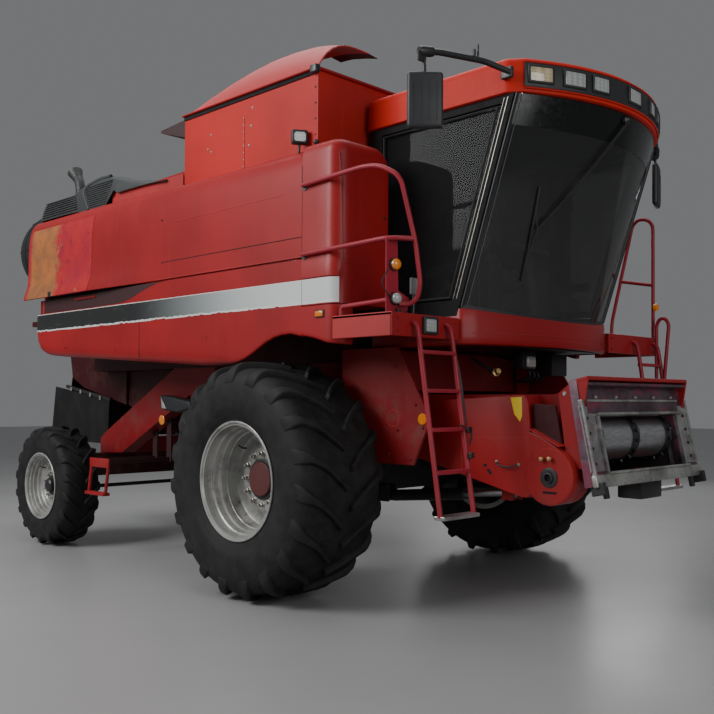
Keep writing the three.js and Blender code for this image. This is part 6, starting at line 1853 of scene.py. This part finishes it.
def exhaust():
    x, y0 = -1.16, 3.545
    pipe = rod("exhaust_elbow", [(x, y0, 3.507), (x, y0, 3.69), (x, y0 + 0.075, 3.78)], 0.05, 6, 0.07, 6)
    put(pipe, EXHAUST)
    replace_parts(pipe, "exhaust_pipe")
    way = by(0, 0.62, 0.78).normalized()
    put(smooth(drum("exhaust_flare", (x, y0 + 0.062, 3.762), way, ((0.044, 0), (0.052, 0), (0.058, 0.035),
        (0.078, 0.098), (0.073, 0.1), (0.053, 0.04), (0.044, 0.012), (0.044, 0)), 40)), EXHAUST)
    put(drum("exhaust_bore", at(x, y0 + 0.062, 3.762) + way * 0.02, way, ((0.046, 0), (0.046, 0.012)), 24),
        DARK_GAP_AND_SHADE)
    put(smooth(drum("exhaust_clamp", (x, y0, 3.56), (0, 0, 1), ((0.05, 0), (0.057, 0), (0.058, 0.012),
        (0.057, 0.024), (0.05, 0.024), (0.05, 0)), 32)), IRON)


def screen():
    """The round air screen: a ribbed dome of perforated sheet."""
    centre = middle("rotary_screen")
    centre.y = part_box("rotary_screen")[0].y
    dome = drum("screen_dome", centre, (0, 1, 0), [(0.4585, 0.0), (0.4595, 0.02), (0.4595, 0.3), (0.456, 0.345),
        (0.447, 0.4), (0.43, 0.45), (0.402, 0.5), (0.365, 0.545), (0.315, 0.585), (0.25, 0.618), (0.17, 0.643),
        (0.085, 0.657), (0, 0.662)], 96, False)
    base = drum("screen_back", centre, (0, 1, 0), ((0.4585, 0.0), (0.4585, 0.006)), 96)
    put(smooth(joined([dome, base], "screen_dome"), 40), MESH, "rotary_screen")
    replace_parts(bpy.context.scene.objects["screen_dome"], "rotary_screen")
    bars = []
    profile = ((0.4605, 0.03), (0.4605, 0.3), (0.449, 0.402), (0.404, 0.503), (0.317, 0.588), (0.172, 0.647),
        (0.03, 0.666))
    for k in range(8):
        angle = tau * k / 8
        points = [centre + by(r * cos(angle), a, r * sin(angle)) for r, a in profile]
        bars.append(rod("bar", points, 0.006, 2))
    hub = drum("hub", centre + by(0, 0.655, 0), (0, 1, 0), ((0.05, 0), (0.046, 0.012), (0, 0.014)), 24)
    hoop = drum("hoop", centre + by(0, 0.28, 0), (0, 1, 0), ((0.455, 0), (0.4635, 0), (0.4635, 0.022),
        (0.455, 0.022), (0.455, 0)), 96)
    put(smooth(joined(bars + [hub, hoop], "screen_bars"), 40), BLACK, "rotary_screen")


def curtains():
    """Folded rubber at the straw hood's mouth and along its sides."""

    def rear_place(i, j):
        u, v = i / 60, j / 10
        x = -0.735 + 1.47 * u
        wave = sin(u * tau * 6.5) * 0.5 + sin(u * tau * 15 + 1.3) * 0.22
        y = 4.5 + 0.185 * v + 0.016 * wave * (0.15 + v) + 0.004
        return at(x, y, 1.755 - 0.74 * v)

    rear = skin("straw_curtain_sheet", 60, 10, rear_place, 0.005, (0, 1, 0), 60)
    put(rear, SHEET_RUBBER)
    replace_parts(rear, "straw_curtain")

    def side_place(i, j):
        u, v = i / 50, j / 8
        y = 3.62 + 1.23 * u
        top = 1.45 + 0.15 * u
        wave = sin(u * tau * 2.3) * 0.6 + sin(u * tau * 5.2 + 0.7) * 0.2
        return at(-0.768 - 0.014 * v - 0.016 * wave * (0.1 + v), y + 0.05 * v * u, top - (top - 0.98) * v)

    both_sides(put(skin("side_curtain_right", 50, 8, side_place, 0.005, (-1, 0, 0), 60), SHEET_RUBBER))
    rail = crate("side_curtain_rail_right", (-0.776, 3.6, 1.435), (-0.752, 4.6, 1.47), 0.003, 1)
    rail.data.transform(turn(8.6, "X", at(-0.76, 3.6, 1.45)))
    both_sides(put(rail, BLACK))
    clips = [(at(-0.788, 3.78 + 0.22 * k, 1.446 + 0.034 * k), at(-0.77, 3.81 + 0.22 * k, 1.492 + 0.034 * k))
        for k in range(4)]
    both_sides(put(crates("side_curtain_clips_right", clips, 0.004, 1), ZINC))
    spots = [at(-0.66 + 0.22 * k, 4.512, 1.74) for k in range(7)]
    studs("curtain_bolts", spots, (0, 1, 0), ZINC, BOLT, 1.6)


def auger_dress():
    """Flange rings, the padded cradle and the collar of the unloading tube."""
    x, z, r = 1.33, 3.43, 0.145
    rings = []
    for y, wide in ((-0.4, 0.03), (0.2, 0.018), (1.6, 0.018), (3.0, 0.018)):
        rings.append(drum("ring", (x, y, z), (0, 1, 0), ((r - 0.002, 0), (r + 0.016, 0), (r + 0.018, 0.003),
            (r + 0.018, wide - 0.003), (r + 0.016, wide), (r - 0.002, wide), (r - 0.002, 0)), 56))
    put(smooth(joined(rings, "auger_rings"), 30), RED, "unloading_auger")
    cradle = [crate("cradle", (1.21, 2.3, 3.06), (1.45, 2.36, 3.2), 0.01, 2)]
    pad = crate("pad", (1.2, 2.29, 3.2), (1.46, 2.37, 3.275), 0.012, 2)
    put(smooth(joined(cradle + [pad], "auger_cradle")), BLACK)
    put(smooth(drum("auger_collar", (1.33, -0.64, 3.19), (0, 0, 1), ((0.16, 0), (0.186, 0), (0.188, 0.004),
        (0.188, 0.036), (0.186, 0.04), (0.16, 0.04), (0.16, 0)), 56), 30), IRON)


def hood_screen_finish(name):
    """Perforated black sheet."""
    f = Finish(name, Metallic=0.3)
    holes = f.cells(95).step(0.35, 0.25)
    colour = f.blend((0.022, 0.024, 0.025), (0.003, 0.003, 0.003), holes)
    return f.drive(colour, f.noise(9, 4) * 0.2 + 0.4, f.bump(holes, 0.5, -0.002))


MESH = hood_screen_finish("perforated_screen")
engine_hood()
exhaust()
screen()
curtains()
auger_dress()


# ---- seat and last trim ----
def puffed(piece, cap, pressure=4.0):
    """A padded shape blown up like a stuffed cover, with each point held within a short reach of its start."""
    worked(piece, "REMESH", mode="VOXEL", voxel_size=0.006)
    start = [v.co.copy() for v in piece.data.vertices]
    soft = piece.modifiers.new("Cover", "CLOTH")
    soft.settings.use_pressure = True
    soft.settings.uniform_pressure_force = pressure
    soft.settings.effector_weights.gravity = 0
    soft.settings.quality = 6
    scene = bpy.context.scene
    soft.point_cache.frame_start, soft.point_cache.frame_end = 1, 20
    for step in range(1, 21):
        scene.frame_set(step)
    bpy.ops.object.modifier_apply(modifier=soft.name)
    for point, origin in zip(piece.data.vertices, start):
        moved = point.co - origin
        if moved.length > cap:
            point.co = origin + moved * (cap / moved.length)
    scene.frame_set(1)
    return smooth(worked(piece, "SUBSURF", levels=1, render_levels=1), 80)


def seat():
    base = crate("base", (-0.222, -1.135, 2.388), (0.222, -0.725, 2.474), 0.03, 4)
    bolster = [crate("bolster", (way * 0.19 - 0.032, -1.1, 2.44), (way * 0.19 + 0.032, -0.76, 2.492), 0.024, 4)
        for way in (-1, 1)]
    back_line = [at(-0.212, -0.785, 2.47), at(-0.212, -0.7, 2.975), at(-0.212, -0.622, 2.985),
        at(-0.212, -0.7, 2.43)]
    back = outlined("back", back_line, (0.424, 0, 0), 0.026, 4)
    wings = []
    for way in (-1, 1):
        line = [at(way * 0.185 - 0.03, -0.815, 2.52), at(way * 0.185 - 0.03, -0.735, 2.9),
            at(way * 0.185 - 0.03, -0.68, 2.91), at(way * 0.185 - 0.03, -0.74, 2.5)]
        wings.append(outlined("wing", line, (0.06, 0, 0), 0.02, 3))
    cushion = joined([base, back] + bolster + wings, "seat_cushion_cover")
    puffed(cushion, 0.018)
    put(cushion, CLOTH)
    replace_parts(cushion, "seat_cushion")
    seams = [rod("seam", [(-0.2, -0.95, 2.5), (0, -0.95, 2.503), (0.2, -0.95, 2.5)], 0.0035, 2)]
    seams += [rod("seam", [(x, -1.135, 2.47), (x, -1.1, 2.499), (x, -0.8, 2.497)], 0.0035, 2)
        for x in (-0.145, 0.145)]
    put(joined(seams, "seat_seams"), BLACK)


seat()


# ---- finishes of the carried-over nodes ----
# The axle beam, straw hood and separator casing take the dark red of painted shade, and the grain tank the red of
# painted sunlight.
NODE_LOOKS = ((IRON, "front_axle knuckle_left knuckle_right engine spreader_disc_left spreader_disc_right"),
    (RED_SHADED, "rear_axle_beam straw_hood separator_casing"), (BLACK,
    "tie_rod seat_base lift_barrel_left lift_barrel_right"), (RED_LOW, "main_frame"),
    (MOULDED, "fuel_tank steering_column screen_duct"), (POST_BLACK, "cab_frame cab_door"),
    (SIDE_GLASS, "cab_window_right cab_door_glass"), (RED_SUNLIT_WALL, "grain_tank"),
    (GRILLE, "engine_hood rotary_screen"), (EXHAUST, "exhaust_pipe"), (SHEET_RUBBER, "straw_curtain"),
    (WORN, "feeder_conveyor"), (PURPLED, "feeder_faceplate"), (BRIGHT, "lift_rod_left lift_rod_right"),
    (RED_RAIL, "platform_right platform_left"),)
node_finish = {node: finish for finish, nodes in NODE_LOOKS for node in nodes.split()}
for node in frame["nodes"]:
    if not frame["nodes"][node].hide_render:
        paint(node, node_finish.get(node, RED))


# ---- camera, floor and light ----
def camera():
    bpy.ops.object.camera_add(location=at(-5.726, -5.395, 1.463))
    eye = bpy.context.object
    eye.data.sensor_width = 36
    eye.data.lens = 45.88
    eye.data.shift_x = -0.0677
    eye.data.shift_y = 0.03
    azimuth, elevation, roll = radians(-46.82), radians(-1.336), radians(0.224)
    back = by(sin(azimuth) * cos(elevation), -cos(azimuth) * cos(elevation), sin(elevation))
    look = (-back).to_track_quat("-Z", "Y").to_matrix().to_4x4()
    eye.matrix_world = Matrix.Translation(eye.location) @ look @ Matrix.Rotation(roll, 4, "Z")
    eye.data.clip_end = 200
    bpy.context.scene.camera = eye


def stage():
    bpy.ops.mesh.primitive_plane_add(size=80, location=(0, 0, 0))
    floor = named("studio_floor")
    floor.data.materials.append(pale_floor("studio_floor_paint"))
    world = bpy.data.worlds.new("studio")
    bpy.context.scene.world = world
    world.use_nodes = True
    sky = world.node_tree.nodes["Background"]
    sky.inputs["Color"].default_value = (0.72, 0.73, 0.75, 1)
    sky.inputs["Strength"].default_value = 0.24
    lamps = (("key", (-8.5, 2.2, 6.5), (0, 0, 1.9), 5.0, 820), ("front_fill", (-4.0, -11.0, 4.0), (0, -1, 1.6), 6.0,
        330), ("top", (0.5, 1.0, 9.5), (0, 0, 2.5), 7.0, 330), ("far_rim", (8.0, 3.0, 5.0), (0, 0, 2.0), 5.0, 200),)
    for name, place, aim, size, watts in lamps:
        bpy.ops.object.light_add(type="AREA", location=place)
        lamp = bpy.context.object
        lamp.name = name
        lamp.data.size = size
        lamp.data.energy = watts
        away = Vector(place) - Vector(aim)
        lamp.rotation_euler = away.to_track_quat("Z", "Y").to_euler()


camera()
stage()
